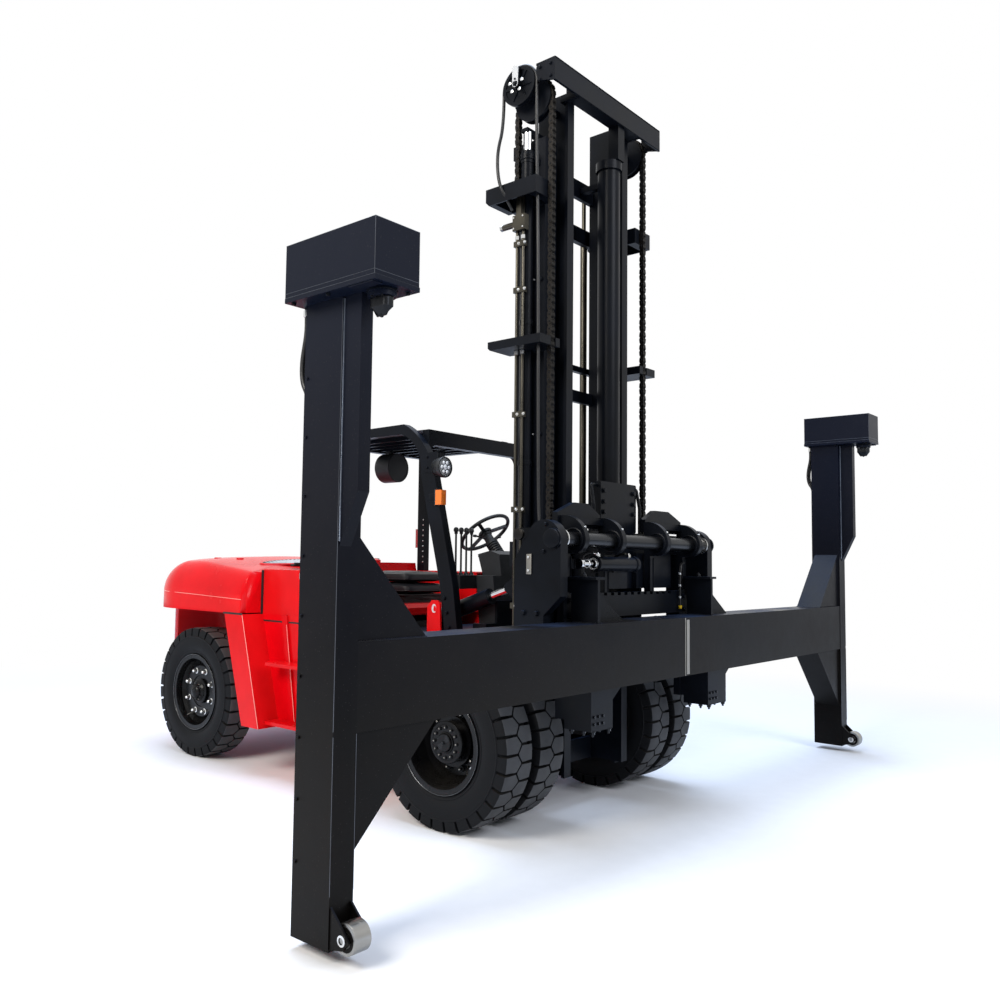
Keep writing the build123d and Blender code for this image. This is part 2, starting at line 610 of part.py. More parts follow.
with BuildPart() as tilt_rods:
    for side in (-1, 1):
        base = truck.origin + Vector(tilt_base[0], side * tilt_y, tilt_base[1])
        line = Plane(origin=base, x_dir=(0, 1, 0), z_dir=tilt_dir)
        with BuildSketch(line.offset(300)):
            Circle(tilt_rod_r)
        extrude(amount=tilt_len - 300)
        eye = truck.origin + Vector(tilt_eye[0], side * tilt_y - 20, tilt_eye[1])
        with BuildSketch(Plane(origin=eye, x_dir=(1, 0, 0), z_dir=(0, 1, 0))):
            Circle(40)
        extrude(amount=40)
tilt_rods.part.label = "tilt_rods"
export_step(tilt_rods.part, "parts/tilt_rods.step")

# Outer mast
tie_t = 40.0
with BuildPart(truck) as outer_mast:
    pair((outer_rear, outer_front), (outer_out - rail_t, outer_out), (mast_foot, outer_top))
    pair((outer_rear, outer_rear + rail_t), (outer_in, outer_out), (mast_foot, outer_top))
    pair((outer_front - rail_t, outer_front), (outer_in, outer_out), (mast_foot, outer_top))
    for low, high in ((mast_foot, 305), (2940, 2980), (3880, 3990), (outer_top - 90, outer_top)):
        slab((outer_rear - tie_t, outer_rear), (-outer_out, outer_out), (low, high))
    slab((outer_rear - tie_t, outer_rear), (-outer_out, outer_out), (1560, 1720))
    # bearing shells round the drive axle
    pair((-125, outer_rear), (beam_in - 55, beam_in - 5), (385, 555))
    drum("Y", (0, 0, axle_z), beam_low - axle_z + pin_gap, 1100, mode=Mode.SUBTRACT)
    # outriggers that carry the chain anchors, hoses and lift cylinders
    side_pair(truck, (outer_out, 700),
              ((-10, 3990), (-10, 3905), (15, 3880), (390, 3880), (390, 3990)))
    side_pair(truck, (outer_out + 14, 690),
              ((60, 3870), (60, 3960), (330, 3960), (330, 3870)), mode=Mode.SUBTRACT)
    side_pair(truck, (outer_out, 700), ((20, 2985), (20, 2945), (36, 2930), (430, 2930), (430, 2985)))
    drum("Z", (lift_x, lift_y, 3500), lift_r, 2000, mode=Mode.SUBTRACT)
    drum("Z", (lift_x, -lift_y, 3500), lift_r, 2000, mode=Mode.SUBTRACT)
    pair((chain_front - 20, chain_front + 21), (chain_y - 26, chain_y + 26), (2900, 4000), mode=Mode.SUBTRACT)
    # tilt lugs
    for side in (-1, 1):
        for step in (-1, 1):
            y = side * tilt_y + step * 34
            side_plate(truck, (y - 8, y + 8),
                       ((outer_rear, tilt_eye[1] - 90), (outer_rear, tilt_eye[1] + 90),
                        (tilt_eye[0], tilt_eye[1] + 48), (tilt_eye[0] - 44, tilt_eye[1] + 20),
                        (tilt_eye[0] - 44, tilt_eye[1] - 20), (tilt_eye[0], tilt_eye[1] - 48)))
    # shoes under the lift cylinders
    pair((lift_x - 60, lift_x + 60), (outer_out, lift_y + 50), (lift_foot - 30, lift_foot))
outer_mast.part.label = "outer_mast"
export_step(outer_mast.part, "parts/outer_mast.step")

with BuildPart(truck) as lift_barrels:
    for side in (-1, 1):
        drum("Z", (lift_x, side * lift_y, (lift_foot + lift_barrel_top) / 2), lift_r, lift_barrel_top - lift_foot)
        drum("Z", (lift_x, side * lift_y, lift_barrel_top - 40), lift_r + 4, 80)
    pair((outer_rear + 40, outer_front - 40), (outer_out, lift_y - lift_r + 8), (4150, 4190))
    for side in (-1, 1):
        drum("Z", (lift_x, side * lift_y, (lift_foot + 20 + lift_barrel_top + 20) / 2), lift_rod_r + pin_gap,
             lift_barrel_top - lift_foot, mode=Mode.SUBTRACT)
lift_barrels.part.label = "lift_barrels"
export_step(lift_barrels.part, "parts/lift_barrels.step")

with BuildPart(truck) as mast_pipes:
    for x in (lift_x - 32, lift_x + 16):
        tube([Vector(*p) + truck.origin for p in
              ((x, -lift_y - 58, 1100), (x, -lift_y - 58, 2930))], 10)
        tube([Vector(*p) + truck.origin for p in
              ((x, -lift_y - 58, 2985), (x, -lift_y - 58, 3700))], 10)
    for z in (1300, 1900, 2500, 3300, 3600):
        slab((lift_x - 50, lift_x + 34), (-lift_y - 74, -lift_y - lift_r), (z, z + 36))
    # flow valve above the pipes
    slab((lift_x - 48, lift_x + 48), (-lift_y - 90, -lift_y - 46), (3700, 3800))
    slab((lift_x - 20, lift_x + 20), (-lift_y - 90, -lift_y - 50), (3800, 3960))
    drum("X", (lift_x - 90, -lift_y - 68, 3750), 20, 90)
    # pressure pipe behind the left rail, clamped to the ties
    drum("Z", (20, 395, 2785), 25, 2370)
    drum("Z", (20, 395, 4110), 15, 290)
    for z in (1620, 2945, 3900):
        slab((18, 50 - seat_gap), (380, 410), (z, z + 30))
mast_pipes.part.label = "mast_pipes"
export_step(mast_pipes.part, "parts/mast_pipes.step")

with BuildPart(truck) as chain_anchors:
    for side in (-1, 1):
        y = side * chain_y
        slab((chain_rear - 14, chain_rear + 14), (y - 20, y + 20), (3990, 4060))
        for i in range(11):
            z = 4060.0 + 42.0 * i
            slab((chain_rear - 10, chain_rear + 10), (y - 19, y + 19), (z, z + 34))
        slab((chain_rear - 7, chain_rear + 7), (y - 15, y + 15), (4060, 4060 + 42 * 11))
chain_anchors.part.label = "rear_chains"
export_step(chain_anchors.part, "parts/rear_chains.step")

# Inner mast
rod_top = 4368.0
with BuildPart(truck) as inner_mast:
    pair((inner_rear, inner_front), (inner_in, inner_in + rail_t), (mast_foot + 30, head_low))
    pair((inner_rear, inner_rear + rail_t), (inner_in, inner_grip), (mast_foot + 30, outer_top - 120))
    pair((inner_front - rail_t, inner_front), (inner_in, inner_out), (mast_foot + 30, head_low))
    for low, high in ((mast_foot + 30, 400), (1250, 1340), (2700, 2780), (4150, 4250)):
        slab((inner_rear, inner_rear + 30), (-inner_in, inner_in), (low, high))
    # crosshead, an inverted trough open to the rear
    slab((head_front - 14, head_front), (-head_half, head_half), (head_low, head_top))
    slab((head_rear, head_front), (-head_half, head_half), (head_top - 14, head_top))
    side_pair(truck, (head_half - 14, head_half),
              ((head_rear, head_low + 40), (head_rear, head_top - 30), (head_rear + 14, head_top),
               (head_front, head_top), (head_front, head_low)))
    pair((inner_rear, head_front - 14), (inner_in, inner_in + rail_t), (head_low, head_top - 60))
    pair((head_rear, head_front - 14), (inner_in, inner_in + rail_t), (head_top - 60, head_top - 14))
    pair((head_rear, head_front - 14), (inner_in, inner_out + 20), (head_low, head_low + 20))
    # sheave shafts and the anchors of the lift rods
    drum("Y", ((chain_rear + chain_front) / 2, (inner_in + 640) / 2, sheave_z), 26, 640 - inner_in)
    drum("Y", ((chain_rear + chain_front) / 2, -(inner_in + 640) / 2, sheave_z), 26, 640 - inner_in)
    pair((lift_x - 30, lift_x + 25), (inner_in, lift_y + 35), (rod_top, rod_top + 22))
    # the free-lift cylinder stands on a foot between the rails
    slab((inner_rear + 30, free_x + 80), (free_y - 100, free_y + 100), (1250, 1280))
inner_mast.part.label = "inner_mast"
export_step(inner_mast.part, "parts/inner_mast.step")

with BuildPart(truck) as lift_rods:
    for side in (-1, 1):
        drum("Z", (lift_x, side * lift_y, (lift_foot + 40 + rod_top) / 2), lift_rod_r, rod_top - lift_foot - 40)
lift_rods.part.label = "lift_rods"
export_step(lift_rods.part, "parts/lift_rods.step")

with BuildPart(truck) as free_cylinder:
    drum("Z", (free_x, free_y, (1280 + 4280) / 2), free_r, 3000)
    drum("Z", (free_x, free_y, 4310), free_r + 14, 60)
    slab((inner_rear + 30, free_x), (free_y - 24, free_y + 24), (4180, 4220))
    slab((free_x + 20, head_front - 14), (free_y - 40, free_y + 40), (4340, head_low))
    slab((free_x + 20, head_front - 14), (-inner_in, inner_in), (head_low, head_low + 16))
free_cylinder.part.label = "free_lift_cylinder"
export_step(free_cylinder.part, "parts/free_lift_cylinder.step")

sheave_x = (chain_rear + chain_front) / 2
sheave_r = (chain_front - chain_rear) / 2 - 12
hose_x, hose_z, hose_r = 225.0, 4622.0, 125.0
hose_in, hose_out = head_half - 14.0, head_half + 14.0
with BuildPart(truck) as mast_sheaves:
    for side in (-1, 1):
        drum("Y", (sheave_x, side * chain_y, sheave_z), sheave_r, 44)
        drum("Y", (sheave_x, side * chain_y, sheave_z), 26, 60, mode=Mode.SUBTRACT)
        for y in (-28, 22):
            drum("Y", (sheave_x, side * chain_y + y + 3, sheave_z), sheave_r + 16, 6)
        drum("Y", (sheave_x, side * chain_y, sheave_z), 26, 60, mode=Mode.SUBTRACT)
    # hose sheave with spokes, outside the right end of the crosshead
    hose_mid = -(hose_in + hose_out) / 2
    drum("Y", (hose_x, hose_mid, hose_z), hose_r, hose_out - hose_in)
    for step in (-1, 1):
        drum("Y", (hose_x, hose_mid + step * 11, hose_z), hose_r - 22, 7, mode=Mode.SUBTRACT)
    for turn in range(6):
        with Locations(Location((hose_x, hose_mid, hose_z), (0, 60 * turn, 0))):
            with Locations((hose_r * 0.42, 0, 0)):
                Box(hose_r * 0.86, hose_out - hose_in, 18)
    drum("Y", (hose_x, hose_mid, hose_z), 30, hose_out - hose_in + 12)
    slab((hose_x - 14, hose_x + 14), (-hose_out - 12, -hose_out - 6), (hose_z - 26, hose_z + hose_r - 4))
    slab((hose_x + 60, head_rear + 20), (-hose_in, -hose_in + 12), (hose_z - 22, hose_z + 40))
    slab((hose_x - 30, hose_x + 80), (-hose_in, -hose_in + 12), (hose_z - 22, hose_z + 22))
mast_sheaves.part.label = "mast_sheaves"
export_step(mast_sheaves.part, "parts/mast_sheaves.step")

link_pitch, link_gap = 50.0, 10.0
strand_low = 1690.0
with BuildPart(truck) as front_chains:
    for side in (-1, 1):
        y = side * chain_y
        count = int((sheave_z - strand_low) / link_pitch)
        slab((chain_front - 7, chain_front + 7), (y - 12, y + 12), (strand_low, sheave_z))
        for i in range(count):
            z = strand_low + link_pitch * i
            slab((chain_front - 12, chain_front + 12), (y - 20, y + 20), (z, z + link_pitch - link_gap))
front_chains.part.label = "front_chains"
export_step(front_chains.part, "parts/front_chains.step")

# Carriage
with BuildPart(truck) as carriage_frame:
    # roller plates inside the inner mast, joined ahead of it by two cross bars
    pair((inner_rear + 60, 560), (inner_in - 36, inner_in - 12), (carriage_low, carriage_top))
    for z in (carriage_low + 60, carriage_top - 130):
        pair((220, 330), (inner_in - 12, inner_in - seat_gap), (z, z + 120))
    pair((inner_front + 30, 560), (inner_in - 12, end_in), (carriage_top - 130, carriage_top))
    pair((inner_front + 30, 560), (inner_in - 12, end_in), (carriage_low + 60, carriage_low + 190))
    slab((520, 560), (-inner_in + 36, inner_in - 36), (carriage_top - 130, carriage_top))
    slab((520, 560), (-inner_in + 36, inner_in - 36), (carriage_low + 60, carriage_low + 190))
    # end plates with a round top about the shaft
    for side in (-1, 1):
        y = tuple(sorted((side * end_in, side * end_out)))
        side_plate(truck, y, ((430, carriage_low), (636, carriage_low), (636, 1290), (752, 1400), (752, shaft_z),
                              (500, shaft_z), (430, 1600)))
        drum("Y", (635, side * (end_in + end_out) / 2, shaft_z - 10), 117, end_out - end_in)
        drum("Y", (shaft_x, side * (end_out + 6), shaft_z), 60, 12)
    # centre tower and plates behind the shaft
    slab((520, 556), (-215, 215), (carriage_top, 2110))
    slab((560, 596), (160, 620), (1430, 1660))
    slab((560, 596), (-330, 40), (1430, 1530))
    slab((520, 560), (-330, 620), (1430, carriage_top - 130))
    # hoop over the tower
    tube([Vector(*p) + truck.origin for p in
          ((548, -280, carriage_top), (548, -280, 1960), (526, -275, 2085), (526, 275, 2085), (548, 280, 1960),
           (548, 280, carriage_top))], 11, 14)
carriage_frame.part.label = "carriage_frame"
export_step(carriage_frame.part, "parts/carriage_frame.step")

with BuildPart(truck) as carriage_shaft:
    drum("Y", (shaft_x, 0, shaft_z), shaft_r, 2 * end_in)
carriage_shaft.part.label = "carriage_shaft"
export_step(carriage_shaft.part, "parts/carriage_shaft.step")

shift_x, shift_z = 706.0, 1585.0
shift_travel = 100.0
shift_r, shift_rod_r = 44.0, 14.0
shift_inner, shift_outer = -60.0, -520.0
with BuildPart(truck) as shift_barrel:
    drum("Y", (shift_x, (shift_inner + shift_outer) / 2, shift_z), shift_r, shift_inner - shift_outer)
    drum("Y", (shift_x, shift_outer - 20, shift_z), shift_rod_r + pin_gap, 600, mode=Mode.SUBTRACT)
    drum("Y", (shift_x, shift_inner - 10, shift_z), shift_r + 6, 20)
    slab((596, shift_x), (shift_inner, shift_inner + 24), (shift_z - 40, shift_z + 40))
    slab((596, 604), (shift_inner - 20, shift_inner + 44), (1540, 1630))
shift_barrel.part.label = "shift_barrel"
export_step(shift_barrel.part, "parts/shift_barrel.step")

# Spreader: hangers on the shaft
hanger_rear, hanger_front = 606.0, 650.0
col_out = 750.0
brow = end_in - shift_travel - 10.0 - arm_places[3]  # the brow plates stop short of the end plates
with BuildPart(truck) as hanger_frame:
    for y in arm_places:
        low, high = y - arm_t / 2, y + arm_t / 2
        with BuildSketch(upright(truck, low)) as arm:
            with BuildLine():
                horn = ThreePointArc((604, 1865), (700, 1850), (shaft_x + 82, shaft_z + 10))
                under = ThreePointArc(horn @ 1, (shaft_x + 55, shaft_z - 62), (shaft_x - 10, shaft_z - 80))
                Polyline(under @ 1, (hanger_front, shaft_z - 84), (hanger_front, 1400), (hanger_rear, 1400),
                         (hanger_rear, 1740), (604, 1865))
            make_face()
        extrude(arm.sketch, amount=-(high - low))
    drum("Y", (shaft_x, 0, shaft_z), shaft_r + pin_gap, 1800, mode=Mode.SUBTRACT)
    for low, high in ((arm_places[0], arm_places[1]), (arm_places[2], arm_places[3])):
        slab((604, 640), (low, high), (1820, 1860))
        cross_plate(truck, (566, 604),
                    ((low - (brow if low < 0 else 0), 1800), (low - (brow if low < 0 else 0), 1885),
                     (low + 130, 1950), (high - 130, 1950), (high + (brow if low > 0 else 0), 1885),
                     (high + (brow if low > 0 else 0), 1800)))
    # notched cross bar between the columns
    slab((hanger_rear, hanger_front), (-col_out, col_out), (1262, 1410))
    for i in range(14):
        y = -560.0 + 80.0 * i
        slab((hanger_rear - 1, hanger_front + 1), (y, y + 36), (1392, 1411), mode=Mode.SUBTRACT)
    pair((hanger_rear, hanger_front), (640, col_out), (700, 1400))
    pair((hanger_rear, beam_f_rear), (640, col_out), (880, 1200))
    # brackets and gussets that clasp the beam from above and below
    for y, foot_low, foot_high in ((-arm_places[3], -765, -540), (arm_places[3], 660, 930)):
        slab((beam_f_rear + 20, beam_f_front - 20), (y - 12, y + 12), (beam_f_top, 1495))
        slab((beam_f_rear + 10, beam_f_front - 10), (y - 45, y + 45), (1495, 1510))
        cross_plate(truck, (760, 776), ((y + 12, beam_f_top), (y + 400, beam_f_top), (y + 12, 1488)))
        slab((hanger_front - 1, beam_f_front - 40), (y - 12, y + 12), (1420, 1495))
        slab((beam_f_rear + 10, beam_f_front - 30), (foot_low, foot_high), (650, beam_f_low))
        cross_plate(truck, (752, 768), ((foot_high, beam_f_low), (foot_high + 265, beam_f_low), (foot_high, 700)))
        slab((hanger_rear, beam_f_rear + 10), (foot_low, foot_low + 110), (700, 870))
hanger_frame.part.label = "hanger_frame"
export_step(hanger_frame.part, "parts/hanger_frame.step")

with BuildPart(truck) as shift_rod:
    rod_out = arm_places[0] + arm_t / 2
    drum("Y", (shift_x, (rod_out - 350) / 2, shift_z), shift_rod_r, -rod_out - 350)
    drum("Y", (shift_x, rod_out + 14, shift_z), 30, 28)
    slab((hanger_front, shift_x), (rod_out, rod_out + 28), (shift_z - 30, shift_z + 30))
shift_rod.part.label = "shift_rod"
export_step(shift_rod.part, "parts/shift_rod.step")

# Spreader: beam, posts and boxes
with BuildPart(frame) as beam:
    slab((beam_f_rear, beam_f_front), (-post_in, post_in), (beam_f_low, beam_f_top))
    slab((beam_f_rear + wall, beam_f_front - wall), (-post_in, post_in), (beam_f_low + wall, beam_f_top - wall),
         mode=Mode.SUBTRACT)
    # patch plate over the middle joint
    slab((beam_f_front, beam_f_front + 4), (5, 62), (beam_f_low + 6, beam_f_top - 10))
beam.part.label = "spreader_beam"
export_step(beam.part, "parts/spreader_beam.step")

taper_low, taper_top = 1641.0, 1861.0
ext_front, ext_in, ext_out = 985.0, 2894.0, 2958.0
with BuildPart(frame) as posts:
    pair((post_rear, post_front), (post_in, post_out), (post_low, box_low))
    pair((post_rear + wall, post_front - wall), (post_in + wall, post_out - wall), (post_low + 20, box_low),
         mode=Mode.SUBTRACT)
    side_pair(frame, (ext_in, ext_out),
              ((post_front, taper_low), (ext_front, taper_top), (ext_front, box_low), (post_front, box_low)))
    for side in (-1, 1):
        for z_post, z_beam, reach in ((1695, beam_f_top, 430), (390, beam_f_low, 500)):
            cross_plate(frame, (beam_f_rear + 10, beam_f_front - 15),
                        ((side * post_in, z_beam), (side * (post_in - reach), z_beam),
                         (side * (post_in - reach + 10), z_beam + math.copysign(8, z_post - z_beam)),
                         (side * post_in, z_post)))
    # plates that carry the ground rollers
    for side in (-1, 1):
        for step in (-1, 1):
            y = side * (post_in + post_out) / 2 + step * (roller_w / 2 + run_gap + 5)
            side_plate(frame, (y - 5, y + 5),
                       ((post_front, post_low + 10), (roller_x, roller_z - 40), (roller_x + 38, roller_z),
                        (roller_x, roller_z + 40), (post_front, 220)))
            drum("Y", (roller_x, y, roller_z), 12 + pin_gap, 20, mode=Mode.SUBTRACT)
posts.part.label = "spreader_posts"
export_step(posts.part, "parts/spreader_posts.step")

plate_top = box_low + 20.0
with BuildPart(frame) as boxes:
    pair((box_rear, box_front), (box_in, box_out), (plate_top, box_top))
    pair((box_rear + wall, box_front - wall), (box_in + wall, box_out - wall), (plate_top, box_top - wall),
         mode=Mode.SUBTRACT)
boxes.part.label = "top_boxes"
export_step(boxes.part, "parts/top_boxes.step")

collar_r, collar_low = 58.0, box_low - 32.0
with BuildPart(frame) as lock_plates:
    pair((box_rear - 2, box_front + 3), (box_in - 3, box_out + 0), (box_low, plate_top))
    pair((1000, 1140), (lock_y + 68, box_out - 5), (box_low - 6, box_low))
    for side in (-1, 1):
        drum("Z", (lock_x, side * lock_y, (collar_low + box_low) / 2), collar_r, box_low - collar_low)
        drum("Z", (lock_x, side * lock_y, box_low), lock_shaft_r + pin_gap, 100, mode=Mode.SUBTRACT)
lock_plates.part.label = "lock_plates"
export_step(lock_plates.part, "parts/lock_plates.step")

head_z = collar_low - run_gap
for side, name in ((-1, "right"), (1, "left")):
    with BuildPart(frame) as lock:
        drum("Z", (lock_x, side * lock_y, (head_z - 10 + plate_top + 60) / 2), lock_shaft_r,
             plate_top + 60 - head_z + 10)
        drum("Z", (lock_x, side * lock_y, plate_top + 16), 46, 20)
        with BuildSketch(level(frame, head_z - 34)) as head:
            with Locations((lock_x, side * lock_y)):
                Rectangle(100, 54)
                fillet(head.vertices(), 20)
        extrude(amount=34)
        with BuildSketch(level(frame, head_z - 34)) as head:
            with Locations((lock_x, side * lock_y)):
                Rectangle(100, 54)
                fillet(head.vertices(), 20)
        extrude(amount=-36, taper=34)
    lock.part.label = f"{name}_twistlock"
    export_step(lock.part, f"parts/{name}_twistlock.step")
    with BuildPart(frame) as roller:
        drum("Y", (roller_x, side * (post_in + post_out) / 2, roller_z), roller_r, roller_w)
        drum("Y", (roller_x, side * (post_in + post_out) / 2, roller_z), 12, 120)
    roller.part.label = f"{name}_roller"
    export_step(roller.part, f"parts/{name}_roller.step")

with BuildPart() as post_hoses:
    for side in (-1, 1):
        for step in (0, 1):
            y = side * (post_out - 30 - 34 * step)
            points = [Vector(*p) + frame.origin for p in
                      ((618, y, box_low), (618, y, 2560), (596, y, 2440), (610, y, 2330), (636, y, 2260),
                       (636, y, 1500))]
            with BuildLine() as path:
                Spline(*points[:5], tangents=((0, 0, -1), (0, 0, -1)))
                Line(points[4], points[5])
            with BuildSketch(Plane(origin=points[0], z_dir=(0, 0, -1))):
                Circle(12)
            sweep(path=path.line)
post_hoses.part.label = "post_hoses"
export_step(post_hoses.part, "parts/post_hoses.step")
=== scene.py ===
"""Studio scene of a container-handling forklift truck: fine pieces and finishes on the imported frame.

Distances are metres in the row frame: +X forward, +Y the truck's left, +Z up. `TRUCK` is the
ground point under the middle of the front axle and `SPREADER` the one under the beam's middle.
"""

import json
import logging
from dataclasses import dataclass, field
from enum import Enum
from math import atan2, copysign, cos, exp, hypot, pi, radians, sin, sqrt, tau
from typing import Callable, Iterable, Optional, Sequence

import bmesh
import bpy
from mathutils import Matrix, Vector, noise

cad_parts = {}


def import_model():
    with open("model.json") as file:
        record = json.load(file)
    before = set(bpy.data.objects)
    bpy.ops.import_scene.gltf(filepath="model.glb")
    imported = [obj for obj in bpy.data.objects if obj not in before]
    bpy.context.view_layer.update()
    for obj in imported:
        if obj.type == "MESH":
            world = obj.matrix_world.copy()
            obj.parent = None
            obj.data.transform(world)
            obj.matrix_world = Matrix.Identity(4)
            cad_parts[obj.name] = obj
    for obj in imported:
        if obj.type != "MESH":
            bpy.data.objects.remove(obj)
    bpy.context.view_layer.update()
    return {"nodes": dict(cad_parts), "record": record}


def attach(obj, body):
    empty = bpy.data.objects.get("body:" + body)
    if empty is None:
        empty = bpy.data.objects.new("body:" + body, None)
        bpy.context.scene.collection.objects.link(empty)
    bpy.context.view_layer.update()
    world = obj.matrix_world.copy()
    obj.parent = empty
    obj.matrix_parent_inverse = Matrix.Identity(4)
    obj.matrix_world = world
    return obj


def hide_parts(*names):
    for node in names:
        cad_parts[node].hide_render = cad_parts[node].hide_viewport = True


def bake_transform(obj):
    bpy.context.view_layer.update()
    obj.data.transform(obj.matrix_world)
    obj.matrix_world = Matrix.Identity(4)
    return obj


LOG = logging.getLogger("scene")
TRUCK = Vector((1.195, -0.285, 0.0))
SPREADER = Vector((1.195, 0.0, 0.0))
AXLE_Z = 0.510
# patterns per metre: soft colour patches of 450 mm, paint waves of 60 mm, dust specks 18 mm apart
PATCHES = 2.2
WAVES = 16.0
SPECKS = 55.0


class Side(Enum):
    """Side of the machine, as the sign of Y."""

    RIGHT = -1
    LEFT = 1


def linear(hex_colour: str) -> tuple[float, float, float, float]:
    """Convert an sRGB hex colour to linear RGBA.

    Args:
        hex_colour: Colour such as "#c81e24".

    Returns:
        Linear red, green, blue and an alpha of 1.
    """
    raw = hex_colour.lstrip("#")
    parts = [int(raw[i:i + 2], 16) / 255.0 for i in (0, 2, 4)]
    return tuple(p / 12.92 if p <= 0.04045 else ((p + 0.055) / 1.055) ** 2.4 for p in parts) + (1.0,)


# Materials


def add_node(tree: bpy.types.NodeTree, kind: str, settings: Optional[dict] = None,
             links: Optional[dict] = None) -> bpy.types.Node:
    """Add a shader node with its settings and incoming links.

    Args:
        tree: Node tree that takes the node.
        kind: Blender's node type without its ShaderNode prefix.
        settings: Values by attribute name, or by input when the name starts with "in:".
        links: Output sockets by input name or number.

    Returns:
        The new node.
    """
    node = tree.nodes.new("ShaderNode" + kind)
    for name, value in (settings or {}).items():
        if name.startswith("in:"):
            key = name[3:]
            node.inputs[int(key) if key.isdigit() else key].default_value = value
        else:
            setattr(node, name, value)
    for name, socket in (links or {}).items():
        tree.links.new(socket, node.inputs[name])
    return node


